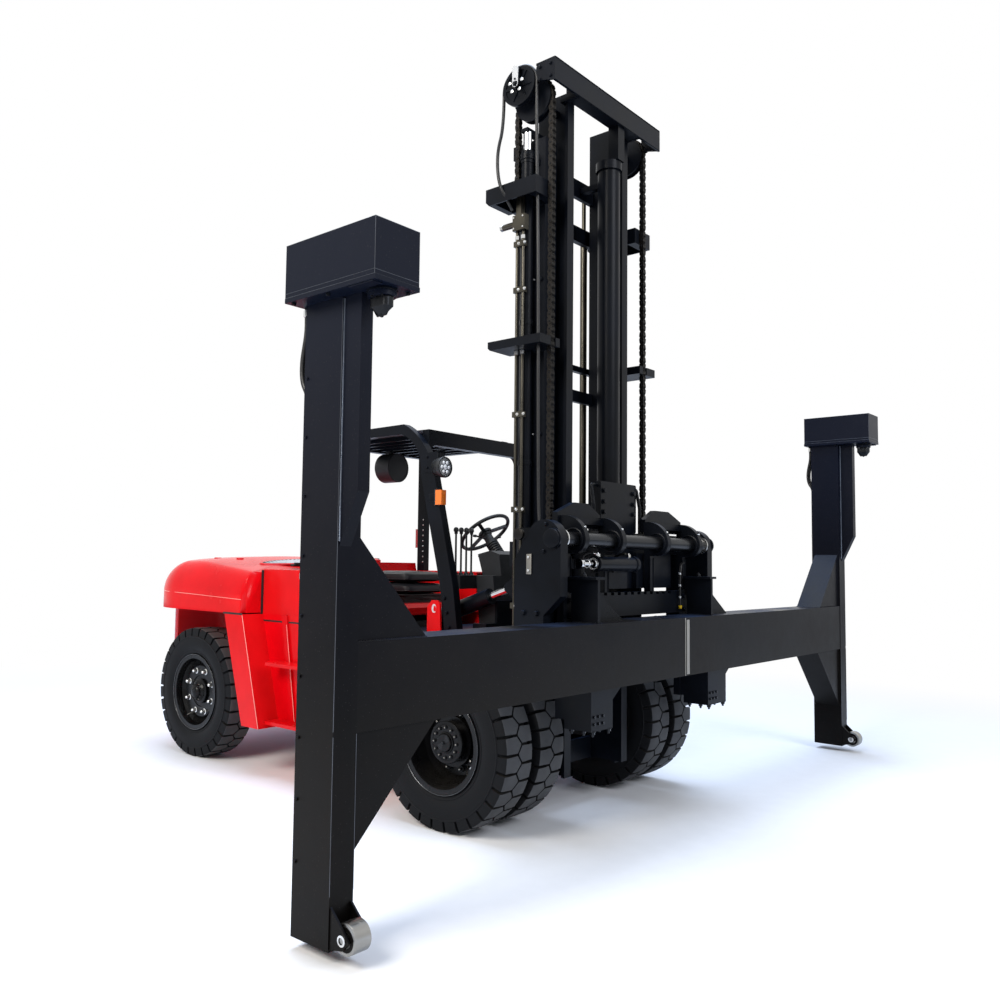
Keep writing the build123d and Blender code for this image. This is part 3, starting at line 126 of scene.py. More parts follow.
@dataclass(frozen=True)
class Finish:
    """One surface finish as a layered procedural material.

    Args:
        name: Material name, for the real material and process.
        colour: Base colour as sRGB hex.
        second: Colour that large soft patches drift towards.
        roughness: Middle roughness.
        spread: How far the roughness drifts either way.
        metallic: 0 for paint and rubber, 1 for bare metal.
        grain: Size of the finest pattern in metres, drawn as coarse as the picture can show.
        bump: Height of that pattern in metres.
        coat: Weight of the clear coat.
        dust_and_sheen: Share of the pale tint on faces that look up: a dusty film, and on the black finishes
            a painted reflection of the sky.
        wear_and_highlight: Share of the pale colour on sharp edges: worn paint that shows the metal or
            primer beneath, and on the red paint a painted highlight along the edges.
        wear_and_highlight_colour: Colour of those pale edges.
        ior: Index of refraction.
        transmission: 1 for clear glass and lenses.
        ripple: Height of the soft waviness in metres, such as orange peel.
        specks: Share of tiny pale specks.
        specular: Strength of the mirror-like share, 0.5 for a plain dielectric.
        dust_and_sheen_colour: Tint of the faces that look up: pale grey for a dusty film, and blue on the
            black finishes for a painted reflection of the sky.
        sky_reflection_high_colour: Colour of a painted sky reflection that the finish drifts to with height,
            or nothing.
    """

    name: str
    colour: str
    second: str
    roughness: float = 0.5
    spread: float = 0.08
    metallic: float = 0.0
    grain: float = 0.004
    bump: float = 0.0001
    coat: float = 0.0
    dust_and_sheen: float = 0.0
    wear_and_highlight: float = 0.0
    wear_and_highlight_colour: str = "#8a8a88"
    ior: float = 1.5
    transmission: float = 0.0
    ripple: float = 0.0
    specks: float = 0.0
    specular: float = 0.5
    dust_and_sheen_colour: str = "#b7ab98"
    sky_reflection_high_colour: str = ""

    def build(self) -> bpy.types.Material:
        """Make the material.

        Returns:
            The finished Blender material.
        """
        material = bpy.data.materials.new(self.name)
        material.use_nodes = True
        tree = material.node_tree
        tree.nodes.clear()
        out = add_node(tree, "OutputMaterial")
        where = add_node(tree, "TexCoord").outputs["Object"]
        patches = add_node(tree, "TexNoise",
                           {"in:Scale": PATCHES, "in:Detail": 4.0, "in:Roughness": 0.6}, {"Vector": where})
        fine = add_node(tree, "TexNoise",
                        {"in:Scale": 1.0 / self.grain, "in:Detail": 3.0, "in:Roughness": 0.55},
                        {"Vector": where})
        blend = add_node(tree, "MapRange",
                         {"in:From Min": 0.35, "in:From Max": 0.7}, {"Value": patches.outputs["Fac"]})
        colour = add_node(tree, "Mix",
                          {"data_type": "RGBA", "in:6": linear(self.colour), "in:7": linear(self.second)},
                          {0: blend.outputs[0]}).outputs[2]
        # painted sky reflection: the colour drifts to the sky's tint with height
        if self.sky_reflection_high_colour:
            place = add_node(tree, "SeparateXYZ", None, {0: where})
            height = add_node(tree, "MapRange", {"in:From Min": 0.9, "in:From Max": 2.7},
                              {"Value": place.outputs["Z"]})
            colour = add_node(tree, "Mix", {"data_type": "RGBA", "in:7": linear(self.sky_reflection_high_colour)},
                              {0: height.outputs[0], 6: colour}).outputs[2]
        if self.specks:
            spots = add_node(tree, "TexVoronoi", {"in:Scale": SPECKS, "in:Randomness": 1.0},
                             {"Vector": where})
            near = add_node(tree, "MapRange",
                            {"in:From Min": 0.05, "in:From Max": 0.12, "in:To Min": self.specks,
                             "in:To Max": 0.0}, {"Value": spots.outputs["Distance"]})
            colour = add_node(tree, "Mix", {"data_type": "RGBA", "in:7": linear("#b9b3a8")},
                              {0: near.outputs[0], 6: colour}).outputs[2]
        rough = add_node(tree, "MapRange", {"in:From Min": 0.3, "in:From Max": 0.7,
                                            "in:To Min": max(0.03, self.roughness - self.spread),
                                            "in:To Max": min(1.0, self.roughness + self.spread)},
                         {"Value": patches.outputs["Fac"]}).outputs[0]
        geometry = add_node(tree, "NewGeometry")
        # faces that look up take a pale dusty film, and on the black finishes a painted blue reflection of
        # the sky
        if self.dust_and_sheen:
            up = add_node(tree, "SeparateXYZ", None, {0: geometry.outputs["Normal"]})
            lying = add_node(tree, "MapRange",
                             {"in:From Min": 0.55, "in:From Max": 1.0, "in:To Max": self.dust_and_sheen},
                             {"Value": up.outputs["Z"]})
            dust_and_sheen_mask = add_node(tree, "Math", {"operation": "MULTIPLY"},
                              {0: lying.outputs[0], 1: blend.outputs[0]})
            colour = add_node(tree, "Mix", {"data_type": "RGBA", "in:7": linear(self.dust_and_sheen_colour)},
                              {0: dust_and_sheen_mask.outputs[0], 6: colour}).outputs[2]
            rough = add_node(tree, "Mix", {"data_type": "FLOAT", "in:3": 0.85},
                             {0: dust_and_sheen_mask.outputs[0], 2: rough}).outputs[0]
        # pale sharp edges: worn paint, and on the red paint a painted highlight
        if self.wear_and_highlight:
            edge = add_node(tree, "MapRange",
                            {"in:From Min": 0.53, "in:From Max": 0.6, "in:To Max": self.wear_and_highlight},
                            {"Value": geometry.outputs["Pointiness"]})
            wear_and_highlight_mask = add_node(tree, "Math", {"operation": "MULTIPLY"},
                              {0: edge.outputs[0], 1: fine.outputs["Fac"]})
            colour = add_node(tree, "Mix", {"data_type": "RGBA", "in:7": linear(self.wear_and_highlight_colour)},
                              {0: wear_and_highlight_mask.outputs[0], 6: colour}).outputs[2]
        normal = add_node(tree, "Bump", {"in:Strength": 1.0, "in:Distance": self.bump},
                          {"Height": fine.outputs["Fac"]}).outputs[0]
        if self.ripple:
            waves = add_node(tree, "TexNoise", {"in:Scale": WAVES, "in:Detail": 1.0}, {"Vector": where})
            normal = add_node(tree, "Bump", {"in:Strength": 1.0, "in:Distance": self.ripple},
                              {"Height": waves.outputs["Fac"], "Normal": normal}).outputs[0]
        shader = add_node(tree, "BsdfPrincipled",
                          {"in:Metallic": self.metallic, "in:IOR": self.ior, "in:Coat Weight": self.coat,
                           "in:Specular IOR Level": self.specular,
                           "in:Coat Roughness": 0.08, "in:Transmission Weight": self.transmission},
                          {"Base Color": colour, "Roughness": rough, "Normal": normal})
        tree.links.new(shader.outputs[0], out.inputs[0])
        return material


FINISHES: dict[str, Finish] = {
    # glossy two-pack paint over filler: clear reflections with a slight orange peel; the paler red on its
    # sharp edges is a painted highlight
    "red_paint": Finish("red_two_pack_paint", "#d80410", "#c2030b", 0.24, 0.05, coat=0.08, grain=0.0015,
                        bump=0.00001, ripple=0.00025, dust_and_sheen=0.02, wear_and_highlight=0.1, wear_and_highlight_colour="#ff5a4c",
                        specular=0.1),
    # satin machinery black: broad soft sheen, fine spray grain; the faint blue in its colours and the blue
    # on faces that look up are a painted reflection of the sky
    "black_paint": Finish("satin_black_machine_paint", "#06080c", "#0b0f17", 0.34, 0.07, grain=0.0025,
                          bump=0.0001, dust_and_sheen=0.3, dust_and_sheen_colour="#2c4266", wear_and_highlight=0.1, wear_and_highlight_colour="#2c2e33",
                          ripple=0.0003, specular=0.1),
    # sprayed black over mill scale on the long frame members, with specks of dust; its brown tint is a
    # painted reflection of the ground, and the navy it takes with height and on faces that look up is a
    # painted reflection of the sky
    "frame_paint": Finish("sprayed_black_on_mill_scale", "#070606", "#0e0b09", 0.36, 0.08, grain=0.003,
                          bump=0.00018, dust_and_sheen=0.35, dust_and_sheen_colour="#38527c", sky_reflection_high_colour="#0c1220", wear_and_highlight=0.14,
                          wear_and_highlight_colour="#38342e", ripple=0.0004, specks=0.06, specular=0.08),
    # wheel enamel, semi-gloss black
    "wheel_paint": Finish("black_wheel_enamel", "#060607", "#09090a", 0.26, 0.08, grain=0.002, bump=0.00006,
                          dust_and_sheen=0.03, wear_and_highlight=0.2, wear_and_highlight_colour="#60646a", specular=0.16),
    # pale steel line along the rolled edge of a lock ring
    "rim_edge": Finish("pale_rim_edge_line", "#75787c", "#4c4e51", 0.32, 0.1, metallic=0.7, grain=0.003,
                       bump=0.0001),
    # turned and ground steel, slight oil film
    "bright_steel": Finish("turned_steel", "#9a9a98", "#7f7c76", 0.32, 0.1, metallic=1.0, grain=0.0012,
                           bump=0.00005),
    # leaf chain under old grease
    "chain_steel": Finish("greased_chain_steel", "#1c1a18", "#2a2724", 0.4, 0.1, metallic=0.8, grain=0.002,
                          bump=0.0002),
    # electrode bead under a thin coat of paint; its pale blue-grey is a painted highlight along the ridge
    "weld_bead_highlight": Finish("weld_bead_with_painted_highlight", "#737b88", "#3c4048", 0.28, 0.08, metallic=0.5, grain=0.002,
                        bump=0.0003),
    # thin pale blue-grey line on an arris: a painted highlight of the sky along the edge
    "arris_highlight": Finish("painted_arris_highlight", "#5c6068", "#3c3f45", 0.35, 0.1, metallic=0.6, grain=0.004,
                          bump=0.0001),
    # hydraulic pipe, dull zinc gone dark
    "dark_pipe": Finish("dulled_zinc_pipe", "#3c3a34", "#57534a", 0.3, 0.1, metallic=0.95, grain=0.002,
                        bump=0.00006),
    # pins and collars that carry old grease and dirt
    "dark_steel": Finish("oiled_dark_steel", "#2b2d31", "#1d1e20", 0.3, 0.08, metallic=0.9, grain=0.0015,
                         bump=0.0001),
    # plated reflector: bright and faintly uneven
    "lamp_bowl": Finish("plated_lamp_reflector", "#b9bdc2", "#a4a8ad", 0.2, 0.06, metallic=0.9, grain=0.004,
                        bump=0.0004),
    # frosted moulded lens: milky white under a gloss skin
    "lamp_lens": Finish("frosted_lamp_lens", "#f4f6f8", "#e6eaee", 0.15, 0.04, grain=0.005, bump=0.0005,
                        coat=0.5),
    # ground hard chrome: close to a mirror
    "chrome_rod": Finish("hard_chrome", "#d9dadc", "#c9cacd", 0.1, 0.03, metallic=1.0, grain=0.002,
                         bump=0.000005),
    # sand-cast iron under thin matt paint: rough sand grain shows
    "engine_iron": Finish("painted_cast_iron", "#151617", "#1c1d1f", 0.6, 0.1, grain=0.003, bump=0.0004,
                          specular=0.4),
    # carbon-black rubber with a grey bloom
    "tyre_rubber": Finish("bloomed_tyre_rubber", "#0d0e10", "#131417", 0.6, 0.1, grain=0.0022, bump=0.0003,
                          dust_and_sheen=0.05, wear_and_highlight=0.2, wear_and_highlight_colour="#34363a", specular=0.12),
    # block faces scuffed pale by the yard
    "worn_tread": Finish("scuffed_tread_faces", "#48494b", "#36373a", 0.8, 0.1, grain=0.003, bump=0.0006,
                         dust_and_sheen=0.1, specular=0.3),
    # extruded hose cover: even satin black, fine grain
    "hose_rubber": Finish("extruded_hose_rubber", "#0b0b0c", "#121213", 0.4, 0.08, grain=0.0015,
                          bump=0.00015, specular=0.4),
    # injection-moulded ABS with a leather grain: soft dull sheen
    "cab_plastic": Finish("grained_abs_moulding", "#0f1114", "#15181c", 0.5, 0.08, grain=0.0012,
                          bump=0.00025, dust_and_sheen=0.06, specular=0.4),
    # calendered vinyl: low sheen, fine grain
    "seat_vinyl": Finish("calendered_seat_vinyl", "#15161a", "#1d1e23", 0.45, 0.06, grain=0.0016,
                         bump=0.0003, specular=0.45),
    # pressed lamp glass: clear with a softly uneven skin
    "lamp_glass": Finish("pressed_lamp_glass", "#f4f8fb", "#eef3f7", 0.05, 0.02, transmission=0.9,
                         grain=0.006, bump=0.0006, ior=1.52),
    # moulded amber acrylic: glossy skin, deep even colour
    "amber_lens": Finish("moulded_amber_acrylic", "#f07a10", "#e86c08", 0.15, 0.04, grain=0.006, bump=0.0004,
                         coat=0.5),
    # moulded red acrylic: the same gloss in red
    "red_lens": Finish("moulded_red_acrylic", "#b8141a", "#a01016", 0.15, 0.04, grain=0.006, bump=0.0004,
                       coat=0.5),
    # sprayed primer left bare: chalky and even
    "primer_grey": Finish("grey_primer_patch", "#9a978f", "#85827b", 0.6, 0.1, grain=0.003, bump=0.0002),
    # aluminium paint on grille bars: soft metal gleam
    "silver_mesh": Finish("silver_grille_paint", "#c4c6c8", "#b4b6b8", 0.38, 0.06, metallic=0.6, grain=0.002,
                          bump=0.00006),
    # pin heads and valve stems worn bare: bright, slightly mottled
    "pin_heads": Finish("worn_pin_heads", "#8f8c86", "#76736c", 0.38, 0.1, metallic=1.0, grain=0.001,
                        bump=0.00005),
    # pale red line along a sharp edge: a painted highlight
    "highlight_line": Finish("painted_edge_highlight", "#f0a89c", "#e88f84", 0.5, 0.08, grain=0.003, bump=0.0001),
    # extruded rubber in a panel gap: matt, nearly black; the same dark face inside the deck grille is
    # painted shade in its opening
    "gap_dark": Finish("dark_seal_and_painted_shade", "#0b0b0c", "#101011", 0.7, 0.05, grain=0.002, bump=0.0002),
    # bright zinc plate: small shining faces
    "nut_zinc": Finish("zinc_plated_nuts", "#d8d9da", "#c6c4bc", 0.28, 0.08, metallic=1.0, grain=0.001,
                       bump=0.00003),
    # moulded polyethylene cap: waxy yellow
    "yellow_cap": Finish("moulded_polyethylene_cap", "#e0b81c", "#cfa812", 0.4, 0.06, grain=0.002,
                         bump=0.0001),
    # moulded pale panel: even, little sheen
    "white_panel": Finish("pale_moulded_panel", "#c9ccd0", "#bfc3c8", 0.42, 0.05, grain=0.0015, bump=0.0001),
}


class Palette:
    """Finished materials by slot, built once each."""

    def __init__(self) -> None:
        """Start with no material made."""
        self._made: dict[str, bpy.types.Material] = {}

    def get(self, slot: str) -> bpy.types.Material:
        """Return the material of a finish.

        Args:
            slot: Key in FINISHES.

        Returns:
            The material, made on first use.
        """
        if slot not in self._made:
            self._made[slot] = FINISHES[slot].build()
        return self._made[slot]


# Geometry


def put(name: str, data: bpy.types.ID) -> bpy.types.Object:
    """Put an object with this data in the scene.

    Args:
        name: Object name.
        data: Mesh, curve, camera or lamp.

    Returns:
        The new object.
    """
    obj = bpy.data.objects.new(name, data)
    bpy.context.scene.collection.objects.link(obj)
    return obj


def face_outward(mesh: bpy.types.Mesh, merge: float = 0.0) -> None:
    """Turn a mesh's faces outward.

    Args:
        mesh: Mesh to change.
        merge: Distance within which its points are merged first.
    """
    work = bmesh.new()
    work.from_mesh(mesh)
    if merge:
        bmesh.ops.remove_doubles(work, verts=work.verts, dist=merge)
    bmesh.ops.recalc_face_normals(work, faces=work.faces)
    work.to_mesh(mesh)
    work.free()


def shade(mesh: bpy.types.Mesh, angle: float) -> None:
    """Shade a mesh smooth apart from its sharp edges.

    Args:
        mesh: Mesh to change.
        angle: Degrees above which an edge stays sharp.
    """
    mesh.polygons.foreach_set("use_smooth", [True] * len(mesh.polygons))
    mesh.set_sharp_from_angle(angle=radians(angle))


def turns(count: int, phase: float = 0.0) -> list[float]:
    """Equal steps round a circle.

    Args:
        count: Number of steps.
        phase: Share of a step that the first one lies at.

    Returns:
        Angles in radians.
    """
    return [tau * (i + phase) / count for i in range(count)]


class Sculpt:
    """Mesh under construction, with one material per group of faces."""

    def __init__(self, name: str, body: str, palette: Palette) -> None:
        """Start an empty mesh.

        Args:
            name: Piece name.
            body: Body that the piece rides on, or nothing for a piece that runs between two bodies and rides
                on neither.
            palette: Source of materials.
        """
        self.name, self.body, self.palette = name, body, palette
        self.points: list[tuple[float, float, float]] = []
        self.faces: list[tuple[int, ...]] = []
        self.slots: list[str] = []
        self.face_slots: list[int] = []

    def add(self, points: Iterable[Sequence[float]], faces: Iterable[Sequence[int]], slot: str) -> None:
        """Append a piece of mesh.

        Args:
            points: Corner positions.
            faces: Corner numbers of each face, counted from this call's first point.
            slot: Finish of the faces.
        """
        start = len(self.points)
        if slot not in self.slots:
            self.slots.append(slot)
        index = self.slots.index(slot)
        self.points.extend(tuple(p) for p in points)
        for face in faces:
            self.faces.append(tuple(start + i for i in face))
            self.face_slots.append(index)

    def add_shared(self, points: Iterable[Sequence[float]],
                   groups: Iterable[tuple[Iterable[Sequence[int]], str]]) -> None:
        """Append one mesh whose faces have several finishes.

        Args:
            points: Corner positions.
            groups: Faces and their finish, group by group.
        """
        start = len(self.points)
        self.points.extend(tuple(p) for p in points)
        for faces, slot in groups:
            if slot not in self.slots:
                self.slots.append(slot)
            index = self.slots.index(slot)
            for face in faces:
                self.faces.append(tuple(start + i for i in face))
                self.face_slots.append(index)

    def block(self, low: Sequence[float], high: Sequence[float], slot: str, chamfer: float = 0.0) -> None:
        """Add a box with its vertical and horizontal edges cut back.

        Args:
            low: Lowest corner.
            high: Highest corner.
            slot: Finish.
            chamfer: Width of the cut at the edges.
        """
        c = min(chamfer, *(abs(high[i] - low[i]) * 0.45 for i in range(3)))
        if c <= 0:
            x, y, z = ((low[i], high[i]) for i in range(3))
            pts = [(a, b, d) for d in z for b in y for a in x]
            self.add(pts, [(0, 2, 3, 1), (4, 5, 7, 6), (0, 1, 5, 4), (2, 6, 7, 3), (0, 4, 6, 2),
                           (1, 3, 7, 5)], slot)
            return
        mesh = bmesh.new()
        bmesh.ops.create_cube(mesh, size=1.0)
        for v in mesh.verts:
            v.co = Vector([low[i] + (v.co[i] + 0.5) * (high[i] - low[i]) for i in range(3)])
        bmesh.ops.bevel(mesh, geom=list(mesh.edges), offset=c, segments=2, profile=0.6, affect="EDGES")
        mesh.verts.index_update()
        self.add([v.co for v in mesh.verts], [[v.index for v in f.verts] for f in mesh.faces], slot)
        mesh.free()

    def lathe(self, profile: Sequence[tuple[float, float]], start: Sequence[float], axis: Sequence[float],
              slot: str, steps: int = 32, capped: bool = True) -> None:
        """Turn an open profile of (distance along, radius) about an axis.

        Args:
            profile: Points from one end to the other.
            start: Point where the distance is zero.
            axis: Direction of the axis.
            slot: Finish.
            steps: Number of faces round.
            capped: Whether flat faces close the two ends.
        """
        w = Vector(axis).normalized()
        u = w.orthogonal().normalized()
        v = w.cross(u)
        base = Vector(start)
        pts: list[Vector] = []
        faces: list[tuple[int, ...]] = []
        for along, r in profile:
            for i in range(steps):
                a = tau * i / steps
                pts.append(base + w * along + (u * cos(a) + v * sin(a)) * max(r, 1e-5))
        for j in range(len(profile) - 1):
            for i in range(steps):
                k = (i + 1) % steps
                faces.append((j * steps + i, j * steps + k, (j + 1) * steps + k, (j + 1) * steps + i))
        if capped and profile[0][1] > 1e-4:
            faces.append(tuple(reversed(range(steps))))
        if capped and profile[-1][1] > 1e-4:
            faces.append(tuple((len(profile) - 1) * steps + i for i in range(steps)))
        self.add(pts, faces, slot)

    def rod(self, a: Sequence[float], b: Sequence[float], r: float, slot: str, steps: int = 16) -> None:
        """Add a round bar with slightly rounded ends.

        Args:
            a: One end.
            b: Other end.
            r: Radius.
            slot: Finish.
            steps: Number of faces round.
        """
        run = Vector(b) - Vector(a)
        c = min(r * 0.2, run.length * 0.3)
        self.lathe([(0, r - c), (c, r), (run.length - c, r), (run.length, r - c)], a, run, slot, steps)

    def nut(self, at: Sequence[float], axis: Sequence[float], across: float, slot: str = "nut_zinc",
            washer: bool = True, stud: float = 0.0) -> None:
        """Add a hexagon head or nut that stands on a face.

        Args:
            at: Point on the face.
            axis: Outward direction.
            across: Width across the flats.
            slot: Finish.
            washer: Whether a washer lies under it.
            stud: Length of thread that stands out of it.
        """
        way = Vector(axis).normalized()
        base = Vector(at)
        if washer:
            self.lathe([(0, across * 0.75), (across * 0.1, across * 0.75)], base, way, slot, 20)
            base = base + way * across * 0.1
        r = across / sqrt(3)
        self.lathe([(0, r), (across * 0.5, r), (across * 0.58, r * 0.86)], base, way, slot, 6)
        if stud:
            self.lathe([(0, across * 0.3), (stud, across * 0.3), (stud + across * 0.06, across * 0.24)],
                       base + way * across * 0.55, way, slot, 12)

    def weld(self, a: Sequence[float], b: Sequence[float], r: float, slot: str = "black_paint") -> None:
        """Add a weld bead as a row of overlapping ripples.

        Args:
            a: One end.
            b: Other end.
            r: Radius of the bead.
            slot: Finish.
        """
        run = Vector(b) - Vector(a)
        count = max(3, int(run.length / (r * 0.9)))
        profile = [(0.0, r * 0.3)]
        for i in range(count):
            along = run.length * (i + 0.5) / count
            profile += [(along - run.length * 0.3 / count, r * 0.86), (along, r),
                        (along + run.length * 0.45 / count, r * 0.8)]
        profile.append((run.length, r * 0.3))
        self.lathe(profile, a, run, slot, 8)

    def hose(self, route: Sequence[Sequence[float]], r: float, slot: str = "hose_rubber", steps: int = 12,
             smooth: int = 6) -> list[Vector]:
        """Add a round hose along a smooth curve through points.

        Args:
            route: Points that the hose passes through.
            r: Radius.
            slot: Finish.
            steps: Number of faces round.
            smooth: Points added between each two.

        Returns:
            The centre line.
        """
        pts = [Vector(p) for p in route]
        ext = [pts[0] * 2 - pts[1], *pts, pts[-1] * 2 - pts[-2]]
        line: list[Vector] = []
        for i in range(1, len(ext) - 2):
            p0, p1, p2, p3 = ext[i - 1:i + 3]
            for k in range(smooth):
                t = k / smooth
                line.append(0.5 * ((2 * p1) + (p2 - p0) * t + (2 * p0 - 5 * p1 + 4 * p2 - p3) * t * t
                                   + (3 * p1 - p0 - 3 * p2 + p3) * t ** 3))
        line.append(pts[-1])
        ring: list[Vector] = []
        u = (line[1] - line[0]).orthogonal().normalized()
        for i, p in enumerate(line):
            way = (line[min(i + 1, len(line) - 1)] - line[max(i - 1, 0)]).normalized()
            u = (u - way * u.dot(way)).normalized()
            v = way.cross(u)
            ring += [p + (u * cos(tau * k / steps) + v * sin(tau * k / steps)) * r for k in range(steps)]
        faces = [(j * steps + i, j * steps + (i + 1) % steps, (j + 1) * steps + (i + 1) % steps,
                  (j + 1) * steps + i) for j in range(len(line) - 1) for i in range(steps)]
        faces += [tuple(reversed(range(steps))), tuple((len(line) - 1) * steps + i for i in range(steps))]
        self.add(ring, faces, slot)
        return line

    def plate(self, outline: Sequence[Sequence[float]], thickness: Sequence[float], slot: str) -> None:
        """Add a flat plate from an outline in space, thickened one way.

        Args:
            outline: Corners in order.
            thickness: Vector from the outline to its far copy.
            slot: Finish.
        """
        n = len(outline)
        far = [Vector(p) + Vector(thickness) for p in outline]
        faces = [tuple(range(n)), tuple(reversed(range(n, 2 * n)))]
        faces += [(i, n + i, n + (i + 1) % n, (i + 1) % n) for i in range(n)]
        self.add([*map(Vector, outline), *far], faces, slot)

    def finish(self, smooth: float) -> bpy.types.Object:
        """Turn the collected mesh into an object that rides on its body.

        Args:
            smooth: Angle in degrees above which edges stay sharp.

        Returns:
            The new object.
        """
        mesh = bpy.data.meshes.new(self.name)
        mesh.from_pydata(self.points, [], self.faces)
        for slot in self.slots:
            mesh.materials.append(self.palette.get(slot))
        mesh.polygons.foreach_set("material_index", self.face_slots)
        face_outward(mesh)
        shade(mesh, smooth)
        obj = put(self.name, mesh)
        if self.body:
            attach(obj, self.body)
        LOG.info("%s: %d points on %s", self.name, len(mesh.vertices), self.body or "two bodies")
        return obj


def round_edges(obj: bpy.types.Object, width: float) -> None:
    """Give an object a bevel on its sharp edges.

    Args:
        obj: Object to change.
        width: Bevel width.
    """
    bevel = obj.modifiers.new("edge", "BEVEL")
    bevel.width, bevel.segments = width, 2
    bevel.limit_method, bevel.angle_limit = "ANGLE", radians(38)
    bevel.harden_normals = True
    bevel.use_clamp_overlap = True


def at(x: float, y: float, z: float) -> Vector:
    """Point on the truck.

    Args:
        x: Forward of the front axle.
        y: Left of the truck's middle.
        z: Above the ground.

    Returns:
        The point in the row frame.
    """
    return TRUCK + Vector((x, y, z))


def span(x: float, y: float, z: float) -> Vector:
    """Point on the container frame.

    Args:
        x: Forward of the front axle.
        y: Left of the beam's middle.
        z: Above the ground.

    Returns:
        The point in the row frame.
    """
    return SPREADER + Vector((x, y, z))


@dataclass(frozen=True)
class FreeHose:
    """Hydraulic or grease hose that is held only at its ends."""

    name: str
    body: str
    route: tuple[tuple[float, float, float], ...]
    radius: float
    far_end: str = "object"
    stiffness: str = "stiff"
    lay: str = "taut"

    def line(self) -> list[Vector]:
        """Centre line of the hose.

        Returns:
            Points read from the NURBS spline with the route as its control points.
        """
        data = bpy.data.curves.new(self.name + "_route", "CURVE")
        data.dimensions = "3D"
        spline = data.splines.new("NURBS")
        spline.points.add(len(self.route) - 1)
        for point, (x, y, z) in zip(spline.points, self.route):
            point.co = (*at(x, y, z), 1.0)
        spline.order_u = 3
        spline.use_endpoint_u = True
        spline.resolution_u = 10
        holder = put(self.name + "_route", data)
        bpy.context.view_layer.update()
        mesh = bpy.data.meshes.new_from_object(holder.evaluated_get(bpy.context.evaluated_depsgraph_get()))
        points = [v.co.copy() for v in mesh.vertices]
        bpy.data.objects.remove(holder)
        return points

    def build(self, palette: Palette, with_pieces: Sequence[bpy.types.Object] = ()) -> bpy.types.Object:
        """Make the hose.

        Args:
            palette: Source of materials.
            with_pieces: Pieces on the hose, such as its cap; not used.

        Returns:
            The finished hose.
        """
        line = self.line()
        art = Sculpt(self.name, self.body, palette)
        art.hose(line, self.radius, "hose_rubber", 14, 1)
        piece = art.finish(50)
        return piece


# Stage


